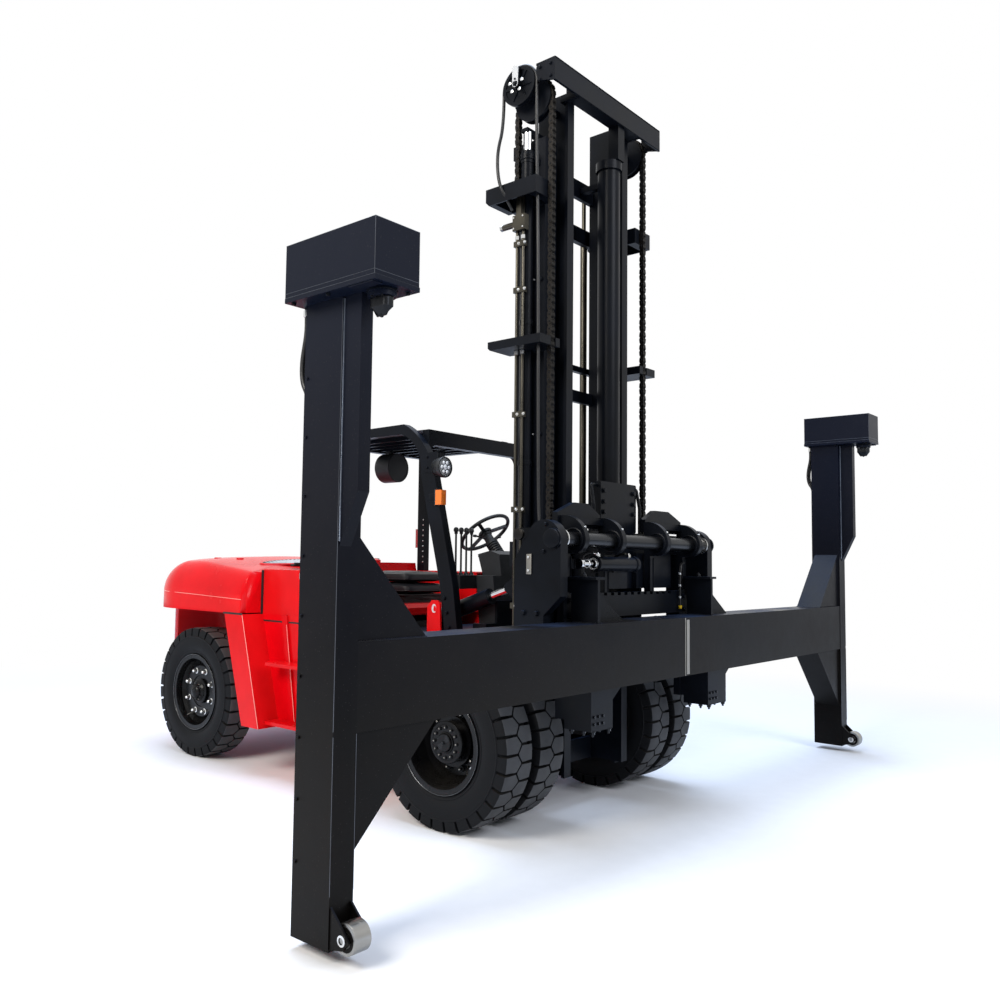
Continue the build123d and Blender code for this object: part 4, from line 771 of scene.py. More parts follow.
@dataclass
class Studio:
    """Floor, lights and the camera fitted to the photograph."""

    eye: tuple[float, float, float] = (4.853, -5.398, 1.585)
    yaw: float = 132.401
    pitch: float = 3.8795
    roll: float = 0.8824
    focal: float = 906.796
    centre_px: tuple[float, float] = (440.0, 500.0)

    def camera(self) -> None:
        """Create the scene's camera."""
        yaw, pitch, roll = (radians(v) for v in (self.yaw, self.pitch, self.roll))
        way = Vector((cos(yaw) * cos(pitch), sin(yaw) * cos(pitch), sin(pitch)))
        side = Vector((sin(yaw), -cos(yaw), 0.0))
        up = side.cross(way)
        side, up = side * cos(roll) + up * sin(roll), up * cos(roll) - side * sin(roll)
        data = bpy.data.cameras.new("camera")
        data.sensor_width = 36.0
        data.lens = self.focal / 1000.0 * 36.0
        data.shift_x = (500.0 - self.centre_px[0]) / 1000.0
        data.shift_y = (self.centre_px[1] - 500.0) / 1000.0
        data.clip_start, data.clip_end = 0.05, 200.0
        camera = put("camera", data)
        turn = Matrix((side, up, -way)).transposed().to_4x4()
        camera.matrix_world = Matrix.Translation(Vector(self.eye)) @ turn
        bpy.context.scene.camera = camera

    def floor(self) -> None:
        """Lay a pale floor that reads as the background and keeps the shadow."""
        size = 60.0
        mesh = bpy.data.meshes.new("floor")
        mesh.from_pydata([(-size, -size, 0), (size, -size, 0), (size, size, 0), (-size, size, 0)], [],
                         [(0, 1, 2, 3)])
        floor = put("floor", mesh)
        material = bpy.data.materials.new("pale_floor")
        material.use_nodes = True
        tree = material.node_tree
        shader = tree.nodes["Principled BSDF"]
        where = add_node(tree, "TexCoord").outputs["Object"]
        grain = add_node(tree, "TexNoise", {"in:Scale": 9.0, "in:Detail": 5.0}, {"Vector": where})
        tone = add_node(tree, "MapRange", {"in:To Min": 0.88, "in:To Max": 0.94},
                        {"Value": grain.outputs["Fac"]})
        tree.links.new(tone.outputs[0], shader.inputs["Base Color"])
        shader.inputs["Roughness"].default_value = 0.9
        # away from the machine the floor turns into the paper behind it, for the camera only
        reach = add_node(tree, "VectorMath", {"operation": "LENGTH"}, {0: where})
        far = add_node(tree, "MapRange",
                       {"interpolation_type": "SMOOTHSTEP", "in:From Min": 3.4, "in:From Max": 8.5},
                       {"Value": reach.outputs["Value"]})
        ray = add_node(tree, "LightPath")
        fade = add_node(tree, "Math", {"operation": "MULTIPLY"},
                        {0: far.outputs[0], 1: ray.outputs["Is Camera Ray"]})
        paper = add_node(tree, "Emission", {"in:Color": (1, 1, 1, 1), "in:Strength": 1.0})
        mix = add_node(tree, "MixShader", None,
                       {0: fade.outputs[0], 1: shader.outputs[0], 2: paper.outputs[0]})
        tree.links.new(mix.outputs[0], tree.nodes["Material Output"].inputs[0])
        mesh.materials.append(material)

    def light(self) -> None:
        """Light the stage with four large soft panels and a pale sky."""
        world = bpy.data.worlds.new("sky")
        bpy.context.scene.world = world
        world.use_nodes = True
        tree = world.node_tree
        tree.nodes.clear()
        out = add_node(tree, "OutputWorld")
        ray = add_node(tree, "LightPath")
        seen = add_node(tree, "Math", {"operation": "MAXIMUM"},
                        {0: ray.outputs["Is Camera Ray"], 1: ray.outputs["Is Transmission Ray"]})
        shown = add_node(tree, "Math", {"operation": "MAXIMUM"},
                         {0: seen.outputs[0], 1: ray.outputs["Is Glossy Ray"]})
        sky = add_node(tree, "Background", {"in:Color": linear("#dfe9f8"), "in:Strength": 0.34})
        paper = add_node(tree, "Background", {"in:Color": (1, 1, 1, 1), "in:Strength": 1.0})
        mix = add_node(tree, "MixShader", None,
                       {0: shown.outputs[0], 1: sky.outputs[0], 2: paper.outputs[0]})
        tree.links.new(mix.outputs[0], out.inputs[0])
        for name, place, aim, size, power, tint in (
                ("key_panel", (1.0, -10.5, 8.0), (-0.8, -0.6, 1.4), 5.0, 1100.0, "#fffaf2"),
                ("top_panel", (-0.5, 0.5, 12.0), (0.0, 0.0, 0.0), 8.0, 1500.0, "#cfe2ff"),
                ("front_panel", (9.5, -1.0, 7.0), (0.6, 0.0, 2.2), 4.0, 420.0, "#f2f6ff"),
                ("rear_panel", (-9.5, 7.0, 4.2), (0.0, 0.0, 1.6), 7.0, 600.0, "#c0d6ff")):
            data = bpy.data.lights.new(name, "AREA")
            data.shape, data.size, data.energy = "SQUARE", size, power
            data.color = linear(tint)[:3]
            lamp = put(name, data)
            lamp.location = place
            lamp.visible_camera = False
            lamp.visible_glossy = name != "rear_panel"
            lamp.rotation_mode = "QUATERNION"
            lamp.rotation_quaternion = (Vector(aim) - Vector(place)).to_track_quat("-Z", "Y")

    def build(self) -> None:
        """Make everything that isn't part of the object."""
        self.camera()
        self.floor()
        self.light()
        bpy.context.scene.view_settings.view_transform = "Standard"


# Frame finishes


@dataclass
class FrameDresser:
    """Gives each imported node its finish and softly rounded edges."""

    palette: Palette
    repaint: dict[str, str] = field(default_factory=lambda: {
        "spreader_beam": "frame_paint", "spreader_posts": "frame_paint", "top_boxes": "frame_paint",
        "carriage_shaft": "dark_steel", "mast_sheaves": "black_paint", "hose_sheave": "black_paint",
        "mast_pipes": "dark_pipe", "left_twistlock": "dark_steel", "right_twistlock": "dark_steel",
        "lock_plates": "frame_paint", "rear_work_lamp": "cab_plastic"})
    edges: dict[str, float] = field(default_factory=lambda: {
        "counterweight": 0.012, "body_sides": 0.006, "side_panels": 0.005, "engine_hood": 0.01, "seat": 0.03,
        "spreader_beam": 0.008, "spreader_posts": 0.008, "top_boxes": 0.003, "overhead_guard": 0.012,
        "outer_mast": 0.004, "inner_mast": 0.004, "carriage_frame": 0.004, "hanger_frame": 0.004,
        "dashboard": 0.008, "front_fenders": 0.006})

    def dress(self, nodes: dict[str, bpy.types.Object], slots: dict[str, str]) -> None:
        """Paint the nodes.

        Args:
            nodes: Objects by node name.
            slots: Material slot by node name.
        """
        for name, obj in nodes.items():
            slot = self.repaint.get(name, slots[name])
            obj.data.materials.clear()
            obj.data.materials.append(self.palette.get(slot))
            round_edges(obj, self.edges.get(name, 0.003))
            LOG.info("%s: %s", name, slot)


# Wheels


@dataclass
class Tyre:
    """Industrial tyre: two rows of five-sided blocks, split by a zigzag groove and open shoulder slots."""

    outer: float = 0.510
    half: float = 0.1310
    bead: float = 0.300
    pitches: int = 30
    depth: float = 0.022
    zigzag: float = 0.021
    slot_wide: float = 0.088
    slot_narrow: float = 0.045
    wall: float = 0.014

    def profile(self) -> list[tuple[float, float, float, float, float, float]]:
        """Half section from the bead to the middle.

        Returns:
            Rows of y, radius, y in a slot, radius in a slot, share of the zigzag, share of the slot's width.
        """
        h, r, b = self.half, self.outer, self.bead
        plain = [(h - 0.024, b), (h - 0.013, b + 0.012), (h - 0.010, b + 0.022), (h - 0.0128, b + 0.0255),
                 (h - 0.0035, b + 0.048), (h, b + 0.080), (h - 0.0012, b + 0.112), (h - 0.0035, b + 0.134),
                 (h - 0.0012, b + 0.1375), (h - 0.0012, b + 0.1425), (h - 0.0055, b + 0.1455)]
        rows = [(y, rr, y, rr, 0.0, 1.0) for y, rr in plain]
        rows += [(h - 0.0060, b + 0.1475, h - 0.0180, b + 0.1475, 0.0, 1.0),
                 (h - 0.0085, r - 0.034, h - 0.0270, r - 0.040, 0.0, 1.0),
                 (h - 0.0125, r - 0.010, h - 0.0330, r - 0.029, 0.0, 1.0),
                 (h - 0.0150, r - 0.0045, h - 0.0370, r - 0.026, 0.0, 1.0),
                 (h - 0.0200, r - 0.0020, h - 0.0400, r - 0.025, 0.05, 1.0),
                 (h - 0.0420, r - 0.0006, h - 0.0480, r - self.depth, 0.2, 0.95),
                 (h - 0.0680, r, h - 0.0680, r - self.depth, 0.45, 0.8),
                 (0.0300, r, 0.0300, r - self.depth, 0.85, 0.55),
                 (0.0068, r, 0.0068, r - self.depth, 1.0, 0.45),
                 (0.0042, r - 0.0130, 0.0042, r - self.depth, 1.0, 0.45)]
        return rows

    def build(self, sculpt: Sculpt, centre: Vector) -> None:
        """Add one tyre to a mesh.

        Args:
            sculpt: Mesh that takes it.
            centre: Middle of the wheel.
        """
        half = self.profile()
        rows = [(1, *p) for p in half] + [(-1, *p) for p in reversed(half)]
        points: list[tuple[float, float, float]] = []
        faces: list[tuple[int, ...]] = []
        tread: list[tuple[int, ...]] = []
        per = 0
        for side, y, r, y_cut, r_cut, zig, wide in rows:
            top = self.slot_narrow + (self.slot_wide - self.slot_narrow) * wide
            low = top - self.wall
            stops = ((-top, 1), (-low, 2), (low, 2), (top, 1), (0.17, 0), (0.33, 0),
                     (0.5 - top, -1), (0.5 - low, -2), (0.5 + low, -2), (0.5 + top, -1), (0.67, 0),
                     (0.83, 0))
            per = len(stops) * self.pitches
            for i in range(self.pitches):
                for stop, kind in stops:
                    cut = 1.0 if kind == 2 * side else 0.0
                    phase = stop % 1.0
                    wave = self.zigzag * (abs(2 * phase - 1) * 2 - 1)
                    yy = side * (y + (y_cut - y) * cut) + wave * zig
                    rr = r + (r_cut - r) * cut
                    a = tau * (i + stop) / self.pitches
                    points.append((centre.x + rr * sin(a), centre.y + yy, centre.z + rr * cos(a)))
        for j in range(len(rows) - 1):
            for i in range(per):
                quad = (j * per + i, j * per + (i + 1) % per, (j + 1) * per + (i + 1) % per,
                        (j + 1) * per + i)
                reach = [hypot(points[k][0] - centre.x, points[k][2] - centre.z) for k in quad]
                (tread if min(reach) > self.outer - 0.0048 else faces).append(quad)
        sculpt.add_shared(points, ((faces, "tyre_rubber"), (tread, "worn_tread")))


@dataclass
class RunningGear:
    """Tyres, nuts, lock rings, hub covers and valves of the six wheels."""

    palette: Palette
    outer_mid: float = 1.0900 - 0.1275
    inner_mid: float = 1.0900 - 0.1275 - 0.255 - 0.060
    steer_mid: float = 0.985 - 0.1275
    wheelbase: float = 2.770
    rear_bolts: float = 0.170
    front_bolts: float = 0.168
    cap_bolts: float = 0.067
    flange_bolts: float = 0.0885

    def tyres(self) -> None:
        """Build the tyres in place of their plain rings."""
        for side in Side:
            name, s = side.name.lower(), side.value
            pair = Sculpt(f"front_{name}_treads", f"front_{name}_wheels", self.palette)
            for mid in (self.outer_mid, self.inner_mid):
                Tyre().build(pair, at(0, s * mid, AXLE_Z))
            obj = pair.finish(28)
            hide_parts(f"front_{name}_tyres")
            rear = Sculpt(f"rear_{name}_tread", f"rear_{name}_wheel", self.palette)
            Tyre().build(rear, at(-self.wheelbase, s * self.steer_mid, AXLE_Z))
            obj = rear.finish(28)
            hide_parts(f"rear_{name}_tyre")

    def lock_rings(self, sculpt: Sculpt, centre: Vector, s: int) -> None:
        """Add the side ring and split lock ring with pale steel lines along their edges.

        Args:
            sculpt: Mesh that takes them.
            centre: Middle of the wheel.
            s: Outward sign of Y.
        """
        face = centre + Vector((0, s * 0.1185, 0))
        sculpt.lathe([(-0.004, 0.3010), (0.0035, 0.2985), (0.0045, 0.2930), (-0.002, 0.2870),
                      (-0.009, 0.2850)], face,
                     (0, s, 0), "wheel_paint", 96, capped=False)
        sculpt.lathe([(-0.010, 0.2850), (-0.003, 0.2825), (-0.002, 0.2760), (-0.010, 0.2710),
                      (-0.020, 0.2690)], face,
                     (0, s, 0), "wheel_paint", 96, capped=False)
        for along, r in ((0.0042, 0.2972), (-0.0022, 0.2816), (-0.0195, 0.2678)):
            sculpt.lathe([(0.0, r + 0.0011), (0.0008, r), (0.0, r - 0.0011)],
                         face + Vector((0, s * along, 0)), (0, s, 0), "rim_edge", 96, capped=False)

    def rear_wheel(self, side: Side) -> None:
        """Dress one steered wheel.

        Args:
            side: Side of the machine.
        """
        name, s = side.name.lower(), side.value
        art = Sculpt(f"rear_{name}_nuts", f"rear_{name}_wheel", self.palette)
        mid = at(-self.wheelbase, s * self.steer_mid, AXLE_Z)
        face = mid + Vector((0, s * 0.0507, 0))
        art.lathe([(0, 0.2045), (0.006, 0.2010), (0.006, 0.1260), (0, 0.1220)], face, (0, s, 0),
                  "wheel_paint", 72, capped=False)
        for a in turns(8, 0.5):
            spot = face + Vector((self.rear_bolts * sin(a), s * 0.006, self.rear_bolts * cos(a)))
            art.lathe([(0, 0.024), (0.003, 0.024), (0.006, 0.018)], spot, (0, s, 0), "nut_zinc", 24)
            art.lathe([(0.004, 0.0185), (0.020, 0.0180), (0.023, 0.0160)], spot, (0, s, 0), "nut_zinc", 6)
            art.lathe([(0.022, 0.0150), (0.030, 0.0140), (0.036, 0.0100), (0.039, 0.0045), (0.040, 0.0)],
                      spot, (0, s, 0), "nut_zinc", 18)
        cap = mid + Vector((0, s * 0.0962, 0))
        art.lathe([(-0.040, 0.094), (-0.034, 0.098), (-0.026, 0.098), (-0.022, 0.092), (-0.020, 0.0790)],
                  cap, (0, s, 0), "wheel_paint", 56, capped=False)
        art.lathe([(0, 0.058), (0.010, 0.056), (0.022, 0.048), (0.030, 0.034), (0.034, 0.016), (0.035, 0.0)],
                  cap, (0, s, 0), "wheel_paint", 48, capped=False)
        for a in turns(6):
            art.nut(cap + Vector((self.cap_bolts * sin(a), 0, self.cap_bolts * cos(a))), (0, s, 0), 0.013,
                    "wheel_paint", False)
        for a in turns(6, 0.5)[:3:2]:
            art.lathe([(0, 0.004), (0.002, 0.0042), (0.005, 0.0)],
                      cap + Vector((self.cap_bolts * sin(a), 0, self.cap_bolts * cos(a))),
                      (0, s, 0), "pin_heads", 10)
        self.lock_rings(art, mid, s)
        art.hose([face + Vector((-0.10, 0, -0.185)), face + Vector((-0.103, s * 0.03, -0.190)),
                  face + Vector((-0.108, s * 0.055, -0.198))], 0.0045, "pin_heads", 10, 4)
        art.finish(35)

    def front_wheel(self, side: Side) -> None:
        """Dress one pair of drive wheels.

        Args:
            side: Side of the machine.
        """
        name, s = side.name.lower(), side.value
        art = Sculpt(f"front_{name}_nuts", f"front_{name}_wheels", self.palette)
        mid = at(0, s * self.outer_mid, AXLE_Z)
        disc = mid + Vector((0, s * -0.0442, 0))
        for a in turns(10, 0.5):
            spot = disc + Vector((self.front_bolts * sin(a), 0, self.front_bolts * cos(a)))
            art.nut(spot, (0, s, 0), 0.034, "wheel_paint", stud=0.016)
            art.lathe([(0, 0.006), (0.002, 0.007), (0.004, 0.004)], spot + Vector((0, s * 0.038, 0)),
                      (0, s, 0), "pin_heads", 10)
        hub = mid + Vector((0, s * 0.0622, 0))
        # drive flange over the planetary hub, its studs and the smooth middle cover
        art.lathe([(-0.022, 0.121), (-0.016, 0.126), (-0.004, 0.126), (0.000, 0.122), (0.0015, 0.104)], hub,
                  (0, s, 0), "wheel_paint", 72, capped=False)
        for a in turns(12):
            spot = hub + Vector((self.flange_bolts * sin(a), 0, self.flange_bolts * cos(a)))
            art.lathe([(0, 0.0110), (0.008, 0.0110), (0.010, 0.0090)], spot, (0, s, 0), "wheel_paint", 6)
            art.lathe([(0.009, 0.0050), (0.013, 0.0046), (0.014, 0.0030)], spot, (0, s, 0), "pin_heads", 10)
        art.lathe([(0, 0.064), (0.005, 0.062), (0.007, 0.056), (0.016, 0.054), (0.021, 0.049), (0.022, 0.0)],
                  hub, (0, s, 0), "wheel_paint", 56, capped=False)
        art.nut(hub + Vector((0, s * 0.0218, 0)), (0, s, 0), 0.018, "wheel_paint", False)
        self.lock_rings(art, mid, s)
        # valve with its stem along the dish, and the inner wheel's extension
        art.hose([disc + Vector((0.088, 0, -0.140)), disc + Vector((0.110, s * 0.040, -0.168)),
                  disc + Vector((0.150, s * 0.066, -0.176)), disc + Vector((0.185, s * 0.080, -0.160))],
                 0.0042, "pin_heads", 10, 6)
        ring = disc + Vector((0.186, s * 0.070, -0.130))
        art.lathe([(0, 0.006), (0, 0.016), (0.012, 0.016), (0.012, 0.007)], ring, (0, s, 0), "nut_zinc", 6,
                  capped=False)
        art.lathe([(0, 0.0), (0.010, 0.0065), (0.020, 0.0055), (0.021, 0.0)],
                  ring + Vector((0, s * 0.004, 0)), (0, s, 0), "nut_zinc", 12, capped=False)
        art.hose([disc + Vector((0.120, 0, -0.110)), disc + Vector((0.160, s * 0.05, -0.124)),
                  ring + Vector((0, s * 0.006, 0))], 0.0042, "hose_rubber", 10, 4)
        art.finish(35)

    def build(self) -> None:
        """Build all of the running gear."""
        self.tyres()
        for side in Side:
            self.rear_wheel(side)
            self.front_wheel(side)


# Body


@dataclass
class Counterweight:
    """Cast counterweight whose shoulder also runs round the rear corners."""

    palette: Palette
    rear: float = -3.540
    front: float = -2.030
    half: float = 1.060
    corner: float = 0.560
    front_round: float = 0.040
    side_inset: float = 0.105
    side_inset_rear: float = 0.160
    rear_inset: float = 0.420
    below: float = 0.0015
    margin: float = 0.02
    deck_half: float = 0.965
    deck_mid: float = -2.55
    grille_x: float = -2.325
    grille_half_x: float = 0.165
    grille_half_y: float = 0.690
    crown_rows: tuple[tuple[float, float, float, float], ...] = (
        (-3.560, 1.318, 1.545, 1.598), (-2.760, 1.300, 1.560, 1.612), (-2.020, 1.2778, 1.4865, 1.5355))

    def heights(self, x: float) -> tuple[float, float, float]:
        """Heights of the crown at a distance along the truck.

        Args:
            x: Distance from the front axle.

        Returns:
            Heights of the crease, the deck's edge and its middle.
        """
        rows = self.crown_rows
        low, high = (rows[0], rows[1]) if x < rows[1][0] else (rows[1], rows[2])
        share = min(1.0, max(0.0, (x - low[0]) / (high[0] - low[0])))
        return tuple(low[i] + (high[i] - low[i]) * share for i in (1, 2, 3))

    def deck(self, x: float, y: float) -> float:
        """Height of the crowned deck.

        Args:
            x: Distance from the front axle.
            y: Distance from the middle.

        Returns:
            Height above the ground.
        """
        _, edge, middle = self.heights(x)
        return middle - (middle - edge) * (y / self.deck_half) ** 2 - self.below

    def outline(self) -> list[tuple[float, float, float, float]]:
        """Plan outline from the front right corner round the rear to the front left one.

        Returns:
            Points and outward normals.
        """
        half: list[tuple[float, float, float, float]] = []
        for k in range(5):
            a = radians(-90 * k / 4)
            half.append((self.front - self.front_round + self.front_round * cos(a),
                         -self.half + self.front_round + self.front_round * sin(a), cos(a), sin(a)))
        start, stop = self.front - self.front_round, self.rear + self.corner
        for k in range(1, 10):
            half.append((start + (stop - start) * k / 10, -self.half, 0.0, -1.0))
        for k in range(29):
            a = radians(-90 - 90 * k / 28)
            half.append((stop + self.corner * cos(a), -self.half + self.corner + self.corner * sin(a),
                         cos(a), sin(a)))
        for k in range(1, 6):
            half.append((self.rear, (-self.half + self.corner) * (1 - k / 6), -1.0, 0.0))
        left = [(x, -y, nx, -ny) for x, y, nx, ny in reversed(half)]
        return half + [(self.rear, 0.0, -1.0, 0.0)] + left

    def cutter(self) -> bpy.types.Object:
        """Solid that holds the counterweight and has the rounded shoulder.

        Returns:
            A closed mesh object.
        """
        ring = self.outline()
        points: list[Vector] = []
        turns = [0.0] + [radians(90 * k / 14) for k in range(15)]
        for level, turn in enumerate([None, *turns[1:]]):
            for x, y, nx, ny in ring:
                crease, _, _ = self.heights(x)
                crease -= 0.003
                if turn is None:
                    points.append(at(x + nx * self.margin, y + ny * self.margin, 0.20))
                    continue
                share = min(1.0, max(0.0, (self.front - x) / (self.front - self.rear - self.corner)))
                wide = self.side_inset + (self.side_inset_rear - self.side_inset) * share
                back = 1 - cos(turn)
                out = self.margin if level == 1 else 0.0
                px = x - min(nx, 0.0) * self.rear_inset * back + nx * out + max(nx, 0.0) * self.margin
                py = y - ny * wide * back + ny * out
                top = self.deck(px, py)
                z = crease + (top - crease) * sin(turn)
                points.append(at(px, py, crease if level == 1 else z))
        n = len(ring)
        levels = len(points) // n
        faces = [(j * n + i, j * n + (i + 1) % n, (j + 1) * n + (i + 1) % n, (j + 1) * n + i)
                 for j in range(levels - 1) for i in range(n)]
        faces.append(tuple(reversed(range(n))))
        # deck rows towards a centre line
        last = (levels - 1) * n
        mid = len(points)
        rows = 10
        for k in range(1, rows):
            for i in range(n):
                edge = points[last + i] - TRUCK
                hub = Vector((self.deck_mid, 0.0, 0.0))
                x = hub.x + (edge.x - hub.x) * (1 - k / rows)
                y = edge.y * (1 - k / rows)
                points.append(at(x, y, self.deck(x, y)))
        starts = [last] + [mid + n * k for k in range(rows - 1)]
        for a, b in zip(starts, starts[1:]):
            faces += [(a + i, a + (i + 1) % n, b + (i + 1) % n, b + i) for i in range(n)]
        points.append(at(self.deck_mid, 0, self.deck(self.deck_mid, 0)))
        faces += [(starts[-1] + i, starts[-1] + (i + 1) % n, len(points) - 1) for i in range(n)]
        mesh = bpy.data.meshes.new("counterweight_cutter")
        mesh.from_pydata(points, [], faces)
        face_outward(mesh)
        return put("counterweight_cutter", mesh)

    def cast(self, node: bpy.types.Object) -> None:
        """Replace the plain casting by one with the full shoulder.

        Args:
            node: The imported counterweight.
        """
        cutter = self.cutter()
        mesh = node.data.copy()
        face_outward(mesh, 0.00005)
        obj = put("counterweight_casting", mesh)
        obj.matrix_world = node.matrix_world.copy()
        cut = obj.modifiers.new("shoulder", "BOOLEAN")
        cut.operation, cut.solver, cut.object, cut.use_self = "INTERSECT", "EXACT", cutter, True
        bpy.context.view_layer.update()
        graph = bpy.context.evaluated_depsgraph_get()
        done = bpy.data.meshes.new_from_object(obj.evaluated_get(graph))
        obj.modifiers.clear()
        obj.data = done
        bpy.data.objects.remove(cutter)
        done.materials.clear()
        done.materials.append(self.palette.get("red_paint"))
        for face in done.polygons:
            face.material_index = 0
        shade(done, 32)
        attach(obj, "truck")
        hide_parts("counterweight")
        LOG.info("counterweight_casting: %d points", len(done.vertices))

    def trim(self) -> None:
        """Seams, painted highlight lines on the edges, hinge bosses, deck grille and its latches."""
        art = Sculpt("counterweight_trim", "truck", self.palette)
        for side in Side:
            s = side.value
            lo, hi = sorted((s * 0.140, s * 0.340))
            art.block(at(self.front - 0.090, lo, 1.440), at(self.front, hi, 1.560), "red_paint", 0.004)
            # lifting eyes' threaded plugs on the deck
            for x in (-3.02, -2.70):
                art.lathe([(0, 0.030), (0.004, 0.032), (0.008, 0.028), (0.008, 0.012), (0.003, 0.010)],
                          at(x, s * 0.62, self.deck(x, 0.62) - 0.002), (0, 0, 1), "red_paint", 28)
        # oval grille in the deck: red frame, silver mesh
        centre_x, reach_x, reach_y = self.grille_x, self.grille_half_x, self.grille_half_y
        ring = [(cos(a), sin(a)) for a in turns(64)]
        pts, faces = [], []
        for scale, lift in ((1.0, 0.001), (0.985, 0.010), (0.955, 0.010), (0.940, 0.003)):
            for u, v in ring:
                x, y = centre_x + u * reach_x * (1 - (1 - scale) * 3.2), v * reach_y * scale
                pts.append(at(x, y, self.deck(x, y) + lift))
        for j in range(3):
            faces += [(j * 64 + i, j * 64 + (i + 1) % 64, (j + 1) * 64 + (i + 1) % 64, (j + 1) * 64 + i)
                      for i in range(64)]
        art.add(pts, faces, "red_paint")
        # dark face under the mesh: painted shade in the grille's opening
        art.add(pts[128:192], [tuple(range(64))], "gap_dark")
        for i in range(27):
            v = -0.93 + 1.86 * i / 26
            span = reach_x * 0.8 * sqrt(max(0.0, 1 - v * v))
            y = v * reach_y * 0.95
            a, b = centre_x - span, centre_x + span
            art.plate([at(a, y - 0.009, self.deck(a, y) + 0.004), at(b, y - 0.009, self.deck(b, y) + 0.004),
                       at(b, y + 0.006, self.deck(b, y) + 0.010), at(a, y + 0.006, self.deck(a, y) + 0.010)],
                      (0, 0, 0.0015), "silver_mesh")
        for u in (-0.5, 0.0, 0.5):
            x = centre_x + u * reach_x
            span = reach_y * 0.9 * sqrt(1 - u * u)
            art.hose([at(x, y, self.deck(x, y) + 0.006) for y in (-span, -span / 2, 0, span / 2, span)],
                     0.004, "silver_mesh", 8, 3)
        for y in (-0.50, 0.50):
            z = self.deck(-2.10, y)
            art.block(at(-2.130, y - 0.040, z - 0.002), at(-2.085, y + 0.040, z + 0.018), "cab_plastic",
                      0.005)
            art.block(at(-2.120, y - 0.014, z + 0.016), at(-2.050, y + 0.014, z + 0.030), "cab_plastic",
                      0.005)
        art.finish(32)
        seams = Sculpt("body_seams_and_highlights", "truck", self.palette)
        for side in Side:
            s = side.value
            y = s * (self.half + 0.0006)
            for a, b, width in (
                    (at(-2.275, y, 1.162), at(self.front + 0.001, y, 1.162), Vector((0, 0, 0.014))),
                    (at(self.front + 0.0006, s * 0.871, 1.162), at(self.front + 0.0006, s * 1.060, 1.162),
                     Vector((0, 0, 0.014))),
                    (at(self.front + 0.0008, s * 0.8705, 1.162), at(self.front + 0.0008, s * 0.8705, 1.500),
                     Vector((0, s * 0.022, 0))),
                    (at(self.front, s * 0.8706, 1.112), at(-1.12, s * 0.8706, 1.112),
                     Vector((0, 0, 0.012)))):
                out = (0.0006, 0, 0) if width.y else (0, s * 0.0006, 0)
                seams.plate([a, b, b + width, a + width], out, "gap_dark")
            # painted highlight lines along the edges of the fender, the rib and the crease
            seams.hose([at(self.front, s * 1.0605, 1.160), at(-1.795, s * 1.0605, 0.352)], 0.0022,
                       "highlight_line", 8, 12)
            seams.hose([at(-1.720, s * 0.8845, 1.100), at(-1.600, s * 0.8845, 0.410)], 0.0020, "highlight_line",
                       8, 12)
            line = [at(x, s * (self.half + 0.0004), self.heights(x)[0] - 0.002)
                    for x in (-2.05, -2.3, -2.6, -2.9)]
            for k in range(1, 9):
                a = radians(90 * k / 8)
                x = self.rear + self.corner - (self.corner + 0.0004) * sin(a)
                y_arc = self.half - self.corner + (self.corner + 0.0004) * cos(a)
                line.append(at(x, s * y_arc, self.heights(x)[0] - 0.002))
            seams.hose(line, 0.0018, "highlight_line", 8, 3)
        seams.finish(30)


# Cab


@dataclass
class Cushion:
    """Padded form: crowned on top and below, rounded at its edges and drawn in between its corners."""

    centre: tuple[float, float, float]
    half: tuple[float, float, float]
    crown: float = 0.016
    draw_in: float = 0.020
    channels: tuple[float, ...] = ()
    bolster: float = 0.0

    def build(self, name: str, body: str, palette: Palette) -> bpy.types.Object:
        """Make the cushion with its sewn channels and the piping round it.

        Args:
            name: Piece name.
            body: Body that it rides on.
            palette: Source of materials.

        Returns:
            The finished piece.
        """
        art = Sculpt(name, body, palette)
        mesh = bmesh.new()
        bmesh.ops.create_cube(mesh, size=2.0)
        bmesh.ops.subdivide_edges(mesh, edges=mesh.edges, cuts=30, use_grid_fill=True)
        for v in mesh.verts:
            a, b, c = v.co
            v.co = self.shape(a, b, c)
        mesh.verts.index_update()
        middle = at(*self.centre)
        art.add([middle + v.co for v in mesh.verts], [[v.index for v in f.verts] for f in mesh.faces],
                "seat_vinyl")
        mesh.free()
        # piping along the upper and lower seam
        for level in (-0.62, 0.62):
            loop = []
            for t in turns(64):
                a, b = cos(t), sin(t)
                big = max(abs(a), abs(b))
                loop.append(middle + self.shape(a / big, b / big, level) * 1.004)
            loop.append(loop[0])
            art.hose(loop, 0.0035, "seat_vinyl", 8, 2)
        return art.finish(60)

    def shape(self, a: float, b: float, c: float) -> Vector:
        """Place a point of the unit cube's skin on the cushion.

        Args:
            a: Share of the length, from -1 to 1.
            b: Share of the width.
            c: Share of the height.

        Returns:
            Offset from the middle.
        """
        hx, hy, hz = self.half
        edge = (abs(a) ** 9 + abs(b) ** 9 + abs(c) ** 5) ** (1 / 6.5)
        edge = max(edge, 1.0)
        x = hx * a / edge * (1 - self.draw_in * (1 - b * b) * 1.6)
        y = hy * b / edge * (1 - self.draw_in * (1 - a * a) * 1.6)
        dome = (1 - a ** 4) * (1 - b ** 4)
        z = (hz - self.crown) * c / edge + self.crown * c * dome
        if c > 0:
            for line in self.channels:
                z -= 0.008 * c * exp(-((a - line) / 0.035) ** 2) * (1 - b ** 6)
            z += self.bolster * c * max(0.0, abs(b) - 0.62) / 0.38 * (1 - a ** 6)
        z += 0.0022 * noise.noise(Vector((a * 3.1, b * 3.7, c * 2.0))) * dome
        return Vector((x, y, z))


